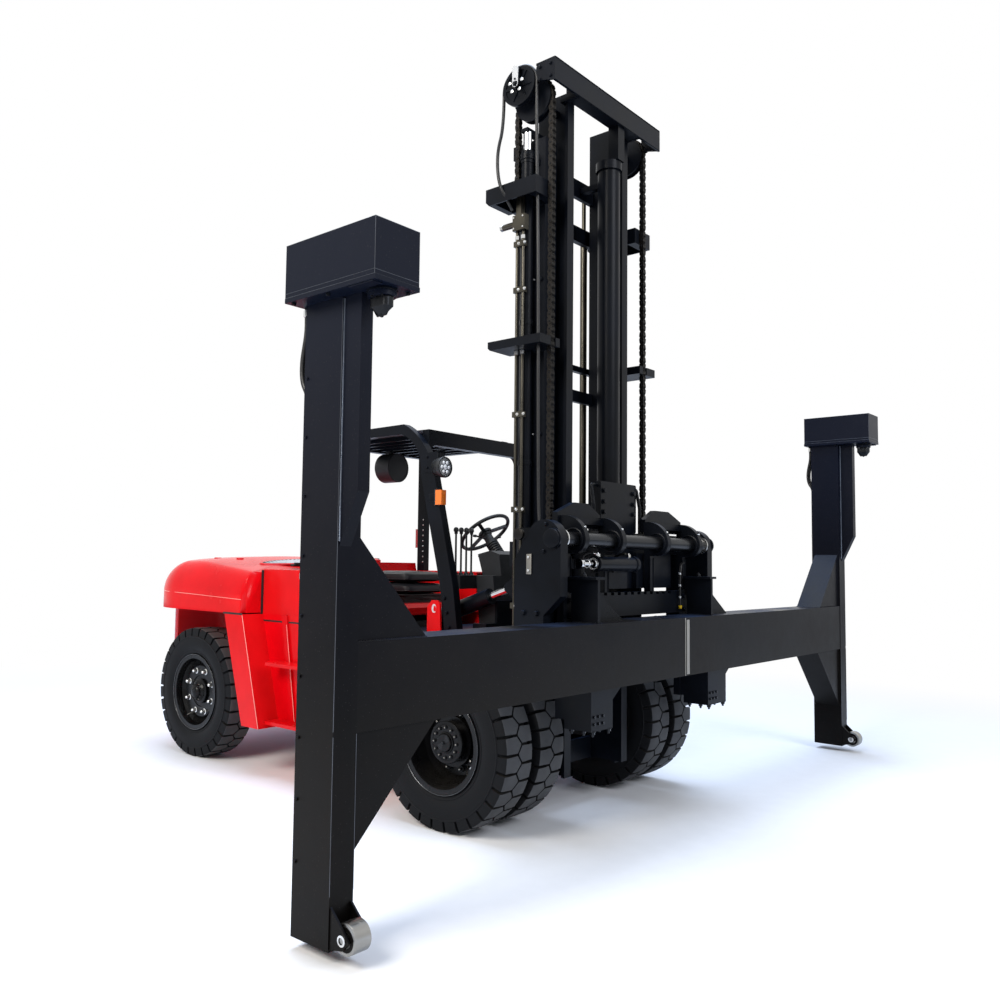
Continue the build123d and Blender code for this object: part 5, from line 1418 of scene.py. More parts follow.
@dataclass
class CabDressing:
    """Seat, controls, lamps and the guard's small fittings."""

    palette: Palette
    guard_out: float = 0.590
    lamp_z: float = 2.215
    lamp_x: float = -0.440

    def seat(self) -> None:
        """Build the padded seat with its backrest folded down on it."""
        base = Sculpt("seat_base", "hood", self.palette)
        base.block(at(-1.560, -0.230, 1.270), at(-1.140, 0.230, 1.278), "cab_plastic", 0.003)
        for k in range(4):
            z = 1.278 + 0.011 * k
            base.block(at(-1.552, -0.222, z), at(-1.148, 0.222, z + 0.009), "cab_plastic", 0.004)
        base.block(at(-1.560, -0.235, 1.322), at(-1.140, 0.235, 1.334), "cab_plastic", 0.004)
        for side in Side:
            s = side.value
            lo, hi = sorted((s * 0.240, s * 0.262))
            base.plate([at(x, lo, z) for x,
                        z in ((-1.606, 1.345), (-1.540, 1.335), (-1.534, 1.400), (-1.546, 1.490),
                              (-1.580, 1.494), (-1.606, 1.470))], (0, hi - lo, 0), "cab_plastic")
            base.lathe([(0, 0.020), (0.004, 0.022), (0.010, 0.021), (0.012, 0.014)],
                       at(-1.575, s * 0.260, 1.420), (0, s, 0), "cab_plastic", 28)
        base.block(at(-1.132, -0.060, 1.300), at(-1.118, 0.060, 1.312), "cab_plastic", 0.004)
        for y in (-0.225, 0.225):
            for x in (-1.520, -1.180):
                base.nut(at(x, y * 0.93, 1.2785), (0, 0, 1), 0.016, "black_paint", False)
        piece = base.finish(35)
        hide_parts("seat")
        pad = Cushion((-1.355, 0.0, 1.377), (0.244, 0.236, 0.043), channels=(-0.35, 0.05, 0.45),
                      bolster=0.004)
        pad.build("seat_cushion", "hood", self.palette)
        back = Cushion((-1.355, 0.0, 1.465), (0.222, 0.228, 0.043), crown=0.014, channels=(-0.3, 0.3))
        back.build("seat_backrest", "hood", self.palette)

    def controls(self) -> None:
        """Dress the steering wheel, stalks, levers, display pod and the guard's bolts."""
        art = Sculpt("cab_controls", "truck", self.palette)
        tilt = atan2(0.230, 0.280)
        up = Vector((-sin(tilt), 0, cos(tilt)))
        mid = at(-0.560, 0.0, 1.800)
        art.lathe([(0.003, 0.050), (0.008, 0.049), (0.012, 0.042), (0.014, 0.030), (0.0145, 0.0)], mid, up,
                  "cab_plastic", 40)
        art.lathe([(0.0140, 0.026), (0.0170, 0.025), (0.0175, 0.0)], mid, up, "black_paint", 32)
        # ribbed sleeve of the tilting column and the stalks beside it
        for k in range(6):
            art.lathe([(0, 0.0345), (0.004, 0.046), (0.012, 0.046), (0.016, 0.0345)],
                      mid - up * (0.115 + 0.018 * k), up, "cab_plastic", 32, capped=False)
        for s in (-1, 1):
            art.hose([mid - up * 0.060 + Vector((0, s * 0.028, 0)),
                      mid - up * 0.050 + Vector((0, s * 0.075, 0)),
                      mid - up * 0.036 + Vector((-0.004, s * 0.125, 0))], 0.006, "cab_plastic")
            art.lathe([(0, 0.007), (0.004, 0.010), (0.030, 0.009), (0.034, 0.005)],
                      mid - up * 0.036 + Vector((-0.004, s * 0.122, 0)), (0, s, 0), "cab_plastic", 16)
        for i in range(4):
            y = -0.400 + 0.055 * i
            art.lathe([(0, 0.026), (0.004, 0.027), (0.008, 0.020), (0.013, 0.022), (0.018, 0.016),
                       (0.023, 0.018),
                       (0.030, 0.011), (0.040, 0.008)], at(-0.490, y, 1.482), (0, 0, 1), "hose_rubber", 28,
                      capped=False)
            art.lathe([(0, 0.0072), (0.003, 0.012), (0.016, 0.0125), (0.020, 0.0175), (0.034, 0.0180),
                       (0.044, 0.013),
                       (0.048, 0.0)], at(-0.490, y, 1.776), (0, 0, 1), "cab_plastic", 24, capped=False)
        # display and switches on the pod's rear face
        foot, head = Vector((-0.353, 0, 1.495)), Vector((-0.400, 0, 1.640))
        rise = (head - foot).normalized()
        out = Vector((-rise.z, 0, rise.x))

        def spot(share: float, y: float, lift: float = 0.0) -> Vector:
            """Point on the rear face of the pod.

            Args:
                share: Share of the face's height.
                y: Distance from the middle.
                lift: Distance off the face.

            Returns:
                The point in the row frame.
            """
            where = foot + (head - foot) * share + out * lift
            return at(where.x, y, where.z)

        art.plate([spot(0.35, -0.13, 0.0), spot(0.35, 0.10, 0.0), spot(0.92, 0.10, 0.0),
                   spot(0.92, -0.13, 0.0)], out * 0.006, "cab_plastic")
        art.plate([spot(0.42, -0.12, 0.006), spot(0.42, 0.09, 0.006), spot(0.86, 0.09, 0.006),
                   spot(0.86, -0.12, 0.006)], out * 0.0015, "gap_dark")
        for k in range(5):
            y = 0.135 + 0.024 * k
            art.plate([spot(0.45, y, 0.0), spot(0.45, y + 0.019, 0.0), spot(0.80, y + 0.019, 0.0),
                       spot(0.80, y, 0.0)], out * 0.007, "cab_plastic")
        art.lathe([(0, 0.012), (0.004, 0.014), (0.010, 0.013), (0.012, 0.004)], spot(0.6, -0.20, 0.0), out,
                  "pin_heads", 24)
        for y in (-0.262, 0.262):
            for share in (0.12, 0.9):
                art.nut(spot(share, y, 0.0005), out, 0.010, "black_paint", False)
        for y in (-0.345, -0.285, 0.285, 0.345):
            art.nut(at(-0.3755, y, 1.450), (-1, 0, 0), 0.012, "black_paint", True)
        # fittings on the guard's rear leg and front pillars
        for k in range(9):
            art.lathe([(0, 0.0060), (0.001, 0.0062), (0.003, 0.0040), (0.0032, 0.0)],
                      at(-1.684, 0.5298, 1.58 + 0.045 * k), (0, -1, 0), "nut_zinc", 12)
        for side in Side:
            s = side.value
            for k in range(3):
                x, z = -0.375 - 0.021 * k, 1.150 + 0.095 * k
                art.nut(at(x, s * self.guard_out, z), (0, s, 0), 0.020, "black_paint", True)
        art.finish(35)

    def lamps(self) -> None:
        """Build the headlamps, their brackets, the turn lamps and the rear work lamp's face."""
        art = Sculpt("headlamp_bodies", "truck", self.palette)
        for side in Side:
            s = side.value
            mid = at(self.lamp_x, s * (self.guard_out + 0.045), self.lamp_z)
            art.lathe([(-0.045, 0.018), (-0.043, 0.030), (-0.030, 0.048), (-0.008, 0.060), (0.024, 0.067),
                       (0.038, 0.070),
                       (0.046, 0.071), (0.0545, 0.069), (0.0545, 0.060)], mid, (1, 0, 0), "cab_plastic", 56,
                      capped=False)
            for k in range(5):
                art.lathe([(0, 0.050 + 0.003 * k), (0.001, 0.060 + 0.002 * k), (0.003, 0.060 + 0.002 * k),
                           (0.004, 0.050 + 0.003 * k)],
                          mid + Vector((-0.022 + 0.010 * k, 0, 0)), (1, 0, 0), "cab_plastic", 40,
                          capped=False)
            art.lathe([(0.0532, 0.060), (0.0536, 0.050), (0.0534, 0.030), (0.0540, 0.0)], mid, (1, 0, 0),
                      "lamp_bowl", 48)
            for k in range(7):
                a = tau * k / 6
                r = 0.0 if k == 6 else 0.034
                size = 0.018 if k == 6 else 0.012
                art.lathe([(0.0534, size), (0.0560, size * 0.9), (0.0585, size * 0.6), (0.0595, 0.0)],
                          mid + Vector((0, r * cos(a), r * sin(a))), (1, 0, 0), "lamp_lens", 24)
            y0 = s * self.guard_out
            art.plate([at(x, y0 + s * 0.0005, z) for x,
                       z in ((-0.620, 2.330), (-0.430, 2.330), (-0.438, 2.262),
                             (-0.520, 2.190), (-0.620, 2.196))], (0, s * 0.006, 0), "black_paint")
            art.block(at(-0.470, min(y0, y0 + s * 0.06), 2.322), at(-0.430, max(y0, y0 + s * 0.06), 2.330),
                      "black_paint", 0.002)
            art.rod(at(-0.452, s * (self.guard_out + 0.045), 2.274),
                    at(-0.452, s * (self.guard_out + 0.045), 2.325), 0.008, "black_paint")
            art.nut(at(-0.452, s * (self.guard_out + 0.045), 2.330), (0, 0, 1), 0.016, "black_paint", True)
            for x, z in ((-0.590, 2.300), (-0.590, 2.225), (-0.470, 2.285)):
                art.nut(at(x, y0 + s * 0.0065, z), (0, s, 0), 0.014, "black_paint", True)
            # turn lamp's bracket, its housing and the ribs of its lens
            art.plate([at(x, y0 + s * 0.0005, z) for x,
                       z in ((-0.530, 2.080), (-0.470, 2.080), (-0.470, 1.950),
                             (-0.530, 1.965))], (0, s * 0.005, 0), "black_paint")
            lo, hi = sorted((s * (self.guard_out + 0.001), s * (self.guard_out + 0.049)))
            art.block(at(-0.482, lo, 1.960), at(-0.468, hi, 2.070), "cab_plastic", 0.003)
            art.block(at(-0.530, lo, 1.990), at(-0.480, lo + 0.006, 2.040), "black_paint", 0.002)
            for k in range(7):
                z = 1.974 + 0.0135 * k
                art.block(at(-0.4155, lo + 0.004, z), at(-0.4138, hi - 0.002, z + 0.004), "amber_lens",
                          0.0008)
        piece = art.finish(35)
        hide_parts("headlamps", "headlamp_glass")
        back = Sculpt("rear_lamp_trim", "truck", self.palette)
        mid = at(-1.585, 0.040, 2.335)
        for end in (-1, 1):
            back.lathe([(0, 0.112), (0.003, 0.118), (0.007, 0.117), (0.008, 0.108), (0.002, 0.104)],
                       mid + Vector((end * 0.0705, 0, 0)), (end, 0, 0), "cab_plastic", 56, capped=False)
        for side in Side:
            s = side.value
            lo, hi = sorted((s * 0.534, s * 0.586))
            for k in range(3):
                z = 1.708 + 0.050 * k
                back.block(at(-1.7765, lo, z), at(-1.7738, hi, z + 0.044), "red_lens" if k else "amber_lens",
                           0.001)
        back.finish(35)

    def lashing(self) -> None:
        """Lay the pale rim and the red middle of the lashing bracket's opening."""
        art = Sculpt("lashing_hole", "truck", self.palette)
        for side in Side:
            s = side.value
            y = s * 0.6062
            ring = [(-0.498 + 0.020 * cos(a), 1.270 + 0.030 * sin(a)) for a in turns(28)]
            art.plate([at(x, y, z) for x, z in ring], (0, s * 0.0004, 0), "white_panel")
            inner = [(-0.490 + 0.012 * cos(a), 1.268 + 0.019 * sin(a)) for a in turns(24)]
            art.plate([at(x, y + s * 0.0005, z) for x, z in inner], (0, s * 0.0004, 0), "red_paint")
        art.finish(35)

    def build(self) -> None:
        """Build all of the cab's fine pieces."""
        self.seat()
        self.controls()
        self.lamps()
        self.lashing()


# Mast dressing


@dataclass
class LeafChain:
    """Lifting chain of stacked plates on cross pins."""

    pitch: float = 0.0460
    plate_t: float = 0.0042
    plate_h: float = 0.036
    lacing: tuple[tuple[float, ...], tuple[float, ...]] = ((-0.0155, -0.0065, 0.0065, 0.0155),
                                                           (-0.011, 0.0, 0.011))

    def lay(self, sculpt: Sculpt, path: Callable[[float], tuple[Vector, Vector]], length: float) -> None:
        """Lay links along a path in a plane across Y.

        Args:
            sculpt: Mesh that takes the links.
            path: Gives the point and direction at a distance.
            length: Length of the run.
        """
        count = max(2, round(length / self.pitch))
        step = length / count
        half = self.plate_h / 2
        for i in range(count):
            a, _ = path(i * step)
            b, _ = path((i + 1) * step)
            way = (b - a).normalized()
            out = Vector((0, 1, 0)).cross(way)
            waist = half * 0.66
            outline = [(-half * 0.5, half * 0.86), (-half, 0.0), (-half * 0.5, -half * 0.86),
                       (step * 0.28, -half * 0.97), (step * 0.5, -waist), (step * 0.72, -half * 0.97),
                       (step + half * 0.5, -half * 0.86), (step + half, 0.0),
                       (step + half * 0.5, half * 0.86),
                       (step * 0.72, half * 0.97), (step * 0.5, waist), (step * 0.28, half * 0.97)]
            for y in self.lacing[i % 2]:
                corners = [a + way * u + out * v + Vector((0, y - self.plate_t / 2, 0)) for u, v in outline]
                sculpt.plate(corners, (0, self.plate_t, 0), "chain_steel")
            reach = 0.0205
            sculpt.lathe([(0, 0.0052), (0.0012, 0.0064), (reach * 2 - 0.0012, 0.0064), (reach * 2, 0.0052)],
                         a - Vector((0, reach, 0)), (0, 1, 0), "dark_steel", 10)


@dataclass
class MastDressing:
    """Chains, hoses, valve, bolts and welds of the mast."""

    palette: Palette
    chain_y: float = 0.560
    chain_rear: float = 0.145
    chain_front: float = 0.411
    sheave_z: float = 4.545
    chain_low: float = 1.690
    anchor_z: float = 3.990
    rear_top: float = 4.522
    lift_x: float = 0.200
    lift_y: float = 0.535
    pipe_y: float = 0.593
    lift_top: float = 4.240
    hose_wheel_at: tuple[float, float, float] = (0.225, -0.656, 4.622)
    hose_wheel_r: float = 0.131

    def chains(self) -> None:
        """Replace the plain chains by plates and pins."""
        radius = (self.chain_front - self.chain_rear) / 2
        centre = (self.chain_front + self.chain_rear) / 2
        straight = self.sheave_z - self.chain_low - 0.02
        arc = pi * radius
        front = Sculpt("front_leaf_chains", "inner_mast", self.palette)
        rear = Sculpt("rear_leaf_chains", "outer_mast", self.palette)
        for side in Side:
            y = side.value * self.chain_y

            def over(d: float, y: float = y) -> tuple[Vector, Vector]:
                """Point on the run up the front and over the sheave.

                Args:
                    d: Distance along the run.
                    y: Place across the mast.

                Returns:
                    The point and the run's direction there.
                """
                if d <= straight:
                    return at(self.chain_front, y, self.chain_low + 0.02 + d), Vector((0, 0, 1))
                turn = min((d - straight) / radius, pi)
                return (at(centre + radius * cos(turn), y, self.sheave_z + radius * sin(turn)),
                        Vector((-sin(turn), 0, cos(turn))))

            def down(d: float, y: float = y) -> tuple[Vector, Vector]:
                """Point on the run behind the mast.

                Args:
                    d: Distance along the run.
                    y: Place across the mast.

                Returns:
                    The point and the run's direction there.
                """
                return at(self.chain_rear, y, self.anchor_z + 0.03 + d), Vector((0, 0, 1))

            LeafChain().lay(front, over, straight + arc)
            LeafChain().lay(rear, down, self.rear_top - self.anchor_z - 0.05)
            # clevis at the carriage end, threaded anchor at the outer mast
            front.block(at(self.chain_front - 0.020, y - 0.021, self.chain_low - 0.010),
                        at(self.chain_front + 0.020, y + 0.021, self.chain_low + 0.022), "chain_steel",
                        0.005)
            front.rod(at(self.chain_front, y, self.chain_low - 0.0095),
                      at(self.chain_front, y, self.chain_low + 0.004), 0.012, "nut_zinc")
            rear.block(at(self.chain_rear - 0.018, y - 0.021, self.anchor_z + 0.012),
                       at(self.chain_rear + 0.018, y + 0.021, self.anchor_z + 0.045), "chain_steel", 0.005)
            rear.rod(at(self.chain_rear, y, self.anchor_z + 0.001),
                     at(self.chain_rear, y, self.anchor_z + 0.02), 0.011, "nut_zinc")
        for sculpt, node in ((front, "front_chains"), (rear, "rear_chains")):
            obj = sculpt.finish(30)
            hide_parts(node)

    def lift_details(self) -> None:
        """Gland rings with their screws, and the clips round the lift cylinders."""
        art = Sculpt("lift_cylinder_trim", "outer_mast", self.palette)
        for side in Side:
            s = side.value
            top = at(self.lift_x, s * self.lift_y, self.lift_top)
            art.lathe([(0, 0.036), (0, 0.047), (0.004, 0.050), (0.036, 0.050), (0.040, 0.046),
                       (0.040, 0.031)],
                      top - Vector((0, 0, 0.060)), (0, 0, 1), "black_paint", 40, capped=False)
            for a in turns(6):
                art.nut(top + Vector((0.049 * cos(a), 0.049 * sin(a), -0.040)),
                        (cos(a), sin(a), 0), 0.010, "black_paint", False)
            for z in (1.40, 2.20, 3.10):
                art.lathe([(0, 0.0405), (0.001, 0.044), (0.029, 0.044), (0.030, 0.0405)],
                          at(self.lift_x, s * self.lift_y, z), (0, 0, 1), "black_paint", 40, capped=False)
        art.finish(35)

    def pipes(self) -> None:
        """Clips, unions and the hoses that meet the pipes."""
        art = Sculpt("mast_pipe_trim", "outer_mast", self.palette)
        xs = (self.lift_x - 0.032, self.lift_x + 0.016)
        for x in xs:
            for z in (1.12, 2.915, 3.0, 3.66):
                art.lathe([(0, 0.0115), (0.002, 0.0155), (0.026, 0.0155), (0.028, 0.0115)],
                          at(x, -self.pipe_y, z - 0.014), (0, 0, 1), "nut_zinc", 6, capped=False)
            for z in (1.318, 1.918, 2.518, 3.318, 3.618):
                art.nut(at(x + 0.024, -self.pipe_y - 0.0165, z), (0, -1, 0), 0.013, "nut_zinc", True)
        # cover screws and cap of the valve block
        for dx in (-0.036, 0.036):
            for z in (3.715, 3.785):
                art.nut(at(self.lift_x + dx, -0.6255, z), (0, -1, 0), 0.011, "nut_zinc", False)
        art.lathe([(0, 0.017), (0.003, 0.021), (0.022, 0.021), (0.026, 0.016)],
                  at(self.lift_x - 0.134, -0.603, 3.750), (-1, 0, 0), "nut_zinc", 6)
        art.finish(35)
        for k, x in enumerate(xs):
            FreeHose(f"pipe_foot_hose_{k + 1}", "outer_mast",
                     ((x, -self.pipe_y, 1.104), (x, -self.pipe_y, 1.058),
                      (x - 0.030, -self.pipe_y + 0.020, 1.040),
                      (x - 0.072, -self.pipe_y + 0.075, 1.046), (x - 0.074, -self.pipe_y + 0.110, 1.066)),
                     0.009).build(self.palette)
        rise = FreeHose("mast_hose_rise", "",
                        ((self.lift_x - 0.036, -0.640, 3.830), (self.lift_x - 0.050, -0.690, 3.900),
                         (self.lift_x - 0.090, -0.722, 4.000), (self.lift_x - 0.104, -0.722, 4.200),
                         (0.094, -0.652, 4.400), (0.094, -0.652, 4.610)), 0.0105).build(self.palette)
        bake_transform(rise)

    def hose_wheel(self) -> None:
        """Hoses over the hose sheave and its bright guard."""
        art = Sculpt("hose_sheave_trim", "inner_mast", self.palette)
        x0, y0, z0 = self.hose_wheel_at
        r = self.hose_wheel_r
        run = []
        for i in range(13):
            a = radians(180 - 15 * i)
            run.append(at(x0 + r * cos(a), y0 + 0.004, z0 + r * sin(a)))
        art.hose([at(x0 - r, y0 + 0.004, z0 - 0.02), *run, at(x0 + r, y0 + 0.004, z0 - 0.02)], 0.0105,
                 "hose_rubber", 12, 3)
        for k in range(5):
            a = tau * k / 5 + 0.3
            art.lathe([(0, 0.0), (0.004, 0.010), (0.012, 0.012), (0.014, 0.008)],
                      at(x0 + 0.05 * cos(a), y0 - 0.034, z0 + 0.05 * sin(a)), (0, -1, 0), "nut_zinc", 12)
        art.nut(at(x0, y0 - 0.030, z0), (0, -1, 0), 0.036, "dark_steel", True, 0.01)
        # bright strap from the wheel's pin up to the rim
        strap = [(0.022 * cos(a), 0.022 * sin(a)) for a in (pi + pi * k / 10 for k in range(11))]
        strap += [(0.024, 0.108), (0.014, 0.118), (-0.014, 0.118), (-0.024, 0.108)]
        art.plate([at(x0 + u, y0 - 0.048, z0 + v) for u, v in strap], (0, -0.004, 0), "silver_mesh")
        art.nut(at(x0, y0 - 0.052, z0 + 0.030), (0, -1, 0), 0.012, "dark_steel", False)
        art.finish(35)
        drop = FreeHose("mast_hose_drop", "",
                        ((x0 + r, y0 + 0.004, z0 - 0.012), (x0 + r, y0 + 0.004, z0 - 0.30),
                         (0.368, -0.640, 3.60),
                         (0.372, -0.634, 2.80), (0.378, -0.634, 2.10), (0.392, -0.640, 1.80),
                         (0.430, -0.650, 1.660)), 0.0105).build(self.palette)
        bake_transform(drop)

    def welds(self) -> None:
        """Weld beads and bolts on the ties, the outriggers and the crosshead."""
        art = Sculpt("mast_welds", "outer_mast", self.palette)
        for side in Side:
            s = side.value
            for z in (2.930, 2.985, 3.880, 3.990):
                art.weld(at(0.10, s * 0.492, z), at(0.30, s * 0.492, z), 0.004)
            for z in (1.560, 1.720, 2.940, 2.980, 3.880, 3.990, 4.240, 4.330):
                art.weld(at(0.0905, s * 0.372, z), at(0.0905, s * 0.480, z), 0.004)
            for z in (2.951, 3.935):
                for x in (0.13, 0.27):
                    art.nut(at(x, s * 0.640, z + 0.034 if z < 3 else z + 0.055), (0, 0, 1), 0.020,
                            "black_paint")
            for z in (1.18, 1.72, 2.40, 3.40, 4.00):
                art.nut(at(0.285, s * 0.4905, z), (0, s, 0), 0.026, "black_paint", True)
                art.lathe([(0, 0.004), (0.010, 0.004), (0.013, 0.006), (0.017, 0.003)],
                          at(0.235, s * 0.4902, z), (0, s, 0), "nut_zinc", 10)
        art.finish(35)
        head = Sculpt("crosshead_trim", "inner_mast", self.palette)
        for y in (-0.60, -0.52, 0.52, 0.60):
            head.nut(at(0.380, y, 4.7272), (0, 0, 1), 0.022, "black_paint")
            head.nut(at(0.470, y, 4.7272), (0, 0, 1), 0.022, "black_paint")
        for z in (4.579, 4.725):
            head.weld(at(0.497, -0.650, z), at(0.497, 0.650, z), 0.003)
        for y in (-0.37, 0.37):
            head.weld(at(0.402, y, 4.576), at(0.490, y, 4.576), 0.004)
        for y, x in ((-0.656, 0.424), (0.656, 0.424)):
            s = copysign(1, y)
            for dz in (0.035, 0.115):
                head.nut(at(x - 0.04, y, 4.577 + dz), (0, s, 0), 0.018, "black_paint")
                head.nut(at(x + 0.04, y, 4.577 + dz), (0, s, 0), 0.018, "black_paint")
        head.finish(35)

    def build(self) -> None:
        """Build all of the mast's fine pieces."""
        self.chains()
        self.lift_details()
        self.pipes()
        self.hose_wheel()
        self.welds()


# Carriage and side shift


@dataclass
class CarriageDressing:
    """Covers, bolts, grease points and hoses of the carriage and its side shift."""

    palette: Palette
    shaft_x: float = 0.700
    shaft_z: float = 1.725
    end_out: float = 0.930
    shift_x: float = 0.706
    shift_z: float = 1.585

    def plates(self) -> None:
        """Covers and bolts on the end plates."""
        art = Sculpt("carriage_trim", "carriage", self.palette)
        for side in Side:
            s = side.value
            cover = at(self.shaft_x, s * (self.end_out + 0.012), self.shaft_z)
            art.lathe([(0, 0.052), (0.004, 0.056), (0.010, 0.054), (0.012, 0.048)], cover, (0, s, 0),
                      "black_paint", 40)
            for k in range(2):
                a = radians(70 - 130 * k)
                art.nut(at(self.shaft_x - 0.085 * cos(a) - 0.02, s * self.end_out,
                           self.shaft_z + 0.085 * sin(a)), (0, s, 0), 0.020, "black_paint")
            # bright keeper plate on its two bolts
            lo, hi = sorted((s * self.end_out, s * (self.end_out + 0.008)))
            art.block(at(0.520, lo, 1.520), at(0.556, hi, 1.636), "pin_heads", 0.003)
            for z in (1.540, 1.616):
                art.nut(at(0.538, s * (self.end_out + 0.008), z), (0, s, 0), 0.014, "nut_zinc", False)
            for z in (0.960, 1.120, 1.300):
                art.nut(at(0.500, s * self.end_out, z), (0, s, 0), 0.026, "black_paint")
                art.nut(at(0.590, s * self.end_out, z), (0, s, 0), 0.026, "black_paint")
            for z in (0.975, 1.72):
                art.lathe([(0, 0.030), (0.006, 0.036), (0.022, 0.034), (0.026, 0.022)],
                          at(0.470, s * self.end_out, z + 0.03), (0, s, 0), "chain_steel", 28)
        # bolts and rib welds on the tower
        for y in (-0.18, 0.18):
            for z in (1.915, 1.98, 2.05):
                art.nut(at(0.5562, y, z), (1, 0, 0), 0.024, "black_paint")
        for y in (-0.213, 0.213):
            art.weld(at(0.557, y, 1.795), at(0.557, y, 2.105), 0.004)
        art.finish(35)

    def shaft(self) -> None:
        """Bright collars at the shaft's two ends."""
        art = Sculpt("shaft_collars", "carriage", self.palette)
        for y in (-0.852, 0.852):
            art.lathe([(0, 0.0442), (0.001, 0.058), (0.010, 0.058), (0.012, 0.0442)],
                      at(self.shaft_x, y - 0.006, self.shaft_z), (0, 1, 0), "nut_zinc", 48, capped=False)
        art.finish(35)

    def side_shift(self) -> None:
        """Glands, ports and hoses of the side shift cylinder."""
        art = Sculpt("shift_cylinder_trim", "carriage", self.palette)
        y_in, y_out = -0.060, -0.520
        for y in (y_in - 0.03, y_out + 0.004):
            art.lathe([(0, 0.0442), (0.002, 0.049), (0.022, 0.049), (0.024, 0.0442)],
                      at(self.shift_x, y, self.shift_z), (0, 1, 0), "black_paint", 40, capped=False)
        art.lathe([(0, 0.030), (0.006, 0.036), (0.006, 0.026), (0.014, 0.024)],
                  at(self.shift_x, y_out, self.shift_z), (0, -1, 0), "nut_zinc", 32, capped=False)
        for y in (y_in - 0.06, y_out + 0.05):
            art.rod(at(self.shift_x, y, self.shift_z + 0.040), at(self.shift_x, y, self.shift_z + 0.062),
                    0.011, "nut_zinc", 6)
            art.rod(at(self.shift_x, y, self.shift_z + 0.058),
                    at(self.shift_x - 0.03, y, self.shift_z + 0.066), 0.009, "nut_zinc", 12)
        art.finish(35)
        for k, y in enumerate((y_in - 0.06, y_out + 0.05)):
            FreeHose(f"side_shift_hose_{k + 1}", "carriage",
                     ((self.shift_x - 0.030, y, self.shift_z + 0.066),
                      (self.shift_x - 0.075, y, self.shift_z + 0.066),
                      (self.shift_x - 0.118, y + 0.010, self.shift_z + 0.030),
                      (self.shift_x - 0.122, y + 0.020, self.shift_z - 0.080)), 0.009).build(self.palette)

    def hangers(self) -> None:
        """Rings, welds, grease hose and bolts of the hangers."""
        art = Sculpt("hanger_trim", "spreader", self.palette)
        for y in (-0.705, -0.295, 0.260, 0.705):
            for s in (-1, 1):
                art.lathe([(0, 0.0452), (0.001, 0.066), (0.006, 0.068), (0.008, 0.062)],
                          at(self.shaft_x, y + s * 0.021, self.shaft_z), (0, s, 0), "black_paint", 48,
                          capped=False)
            art.lathe([(0, 0.005), (0.010, 0.005), (0.014, 0.007), (0.020, 0.003)],
                      at(self.shaft_x + 0.055, y, self.shaft_z + 0.062), (0.7, 0, 0.7), "nut_zinc", 12)
            art.weld(at(0.652, y - 0.022, 1.412), at(0.652, y - 0.022, 1.63), 0.004)
            art.weld(at(0.652, y + 0.022, 1.412), at(0.652, y + 0.022, 1.63), 0.004)
        # ring pin at the cylinder's rod end
        art.lathe([(0, 0.0), (0.003, 0.014), (0.030, 0.014), (0.034, 0.010)],
                  at(self.shift_x, -0.683, 1.585), (0, 1, 0), "nut_zinc", 20)
        ring = [at(self.shift_x + 0.030 + 0.020 * cos(a), -0.640, 1.585 + 0.024 * sin(a))
                for a in (tau * k / 12 for k in range(13))]
        art.hose(ring, 0.003, "nut_zinc", 8, 2)
        for y in (-0.695, 0.695):
            for z in (0.78, 0.86, 1.285, 1.370):
                art.nut(at(0.6502, y, z), (1, 0, 0), 0.026, "black_paint")
        # grease hose that comes up beside the left bracket, with its yellow cap
        cap = Sculpt("grease_hose_cap", "spreader", self.palette)
        cap.lathe([(0, 0.008), (0.003, 0.0125), (0.020, 0.0120), (0.026, 0.006)], at(0.674, 0.606, 1.312),
                  (0, 0, -1), "yellow_cap", 20)
        for z in (1.36, 1.44, 1.52):
            cap.lathe([(0, 0.0072), (0.001, 0.0084), (0.013, 0.0084), (0.014, 0.0072)], at(0.6735, 0.606, z),
                      (0, 0, 1), "silver_mesh", 20, capped=False)
        FreeHose("grease_hose", "spreader",
                 ((0.664, 0.682, 1.600), (0.664, 0.650, 1.604), (0.676, 0.612, 1.570), (0.673, 0.606, 1.460),
                  (0.674, 0.606, 1.310)), 0.0072, "fitting", "medium",
                 "hanging").build(self.palette, [cap.finish(35)])
        for y, foot_low, foot_high in ((-0.705, -0.765, -0.540), (0.705, 0.660, 0.930)):
            for x in (0.700, 0.780, 0.840):
                for yy in (foot_low + 0.03, foot_high - 0.03):
                    art.nut(at(x, yy, 0.650), (0, 0, -1), 0.024, "dark_steel", True, 0.012)
            for z in (0.690, 0.730):
                for yy in (foot_low + 0.03, foot_low + 0.075, foot_low + 0.12):
                    art.nut(at(0.849, yy, z), (1, 0, 0), 0.016, "dark_steel", False)
            art.weld(at(0.69, y - 0.013, 1.2505), at(0.85, y - 0.013, 1.2505), 0.005)
            art.weld(at(0.69, y + 0.013, 1.2505), at(0.85, y + 0.013, 1.2505), 0.005)
            art.weld(at(0.758, y + 0.40, 1.2515), at(0.758, y + 0.02, 1.2515), 0.004)
            art.nut(at(0.76, y, 1.5102), (0, 0, 1), 0.024, "dark_steel", True, 0.008)
        art.finish(35)

    def build(self) -> None:
        """Build all of the carriage's fine pieces."""
        self.plates()
        self.shaft()
        self.side_shift()
        self.hangers()


# Spreader


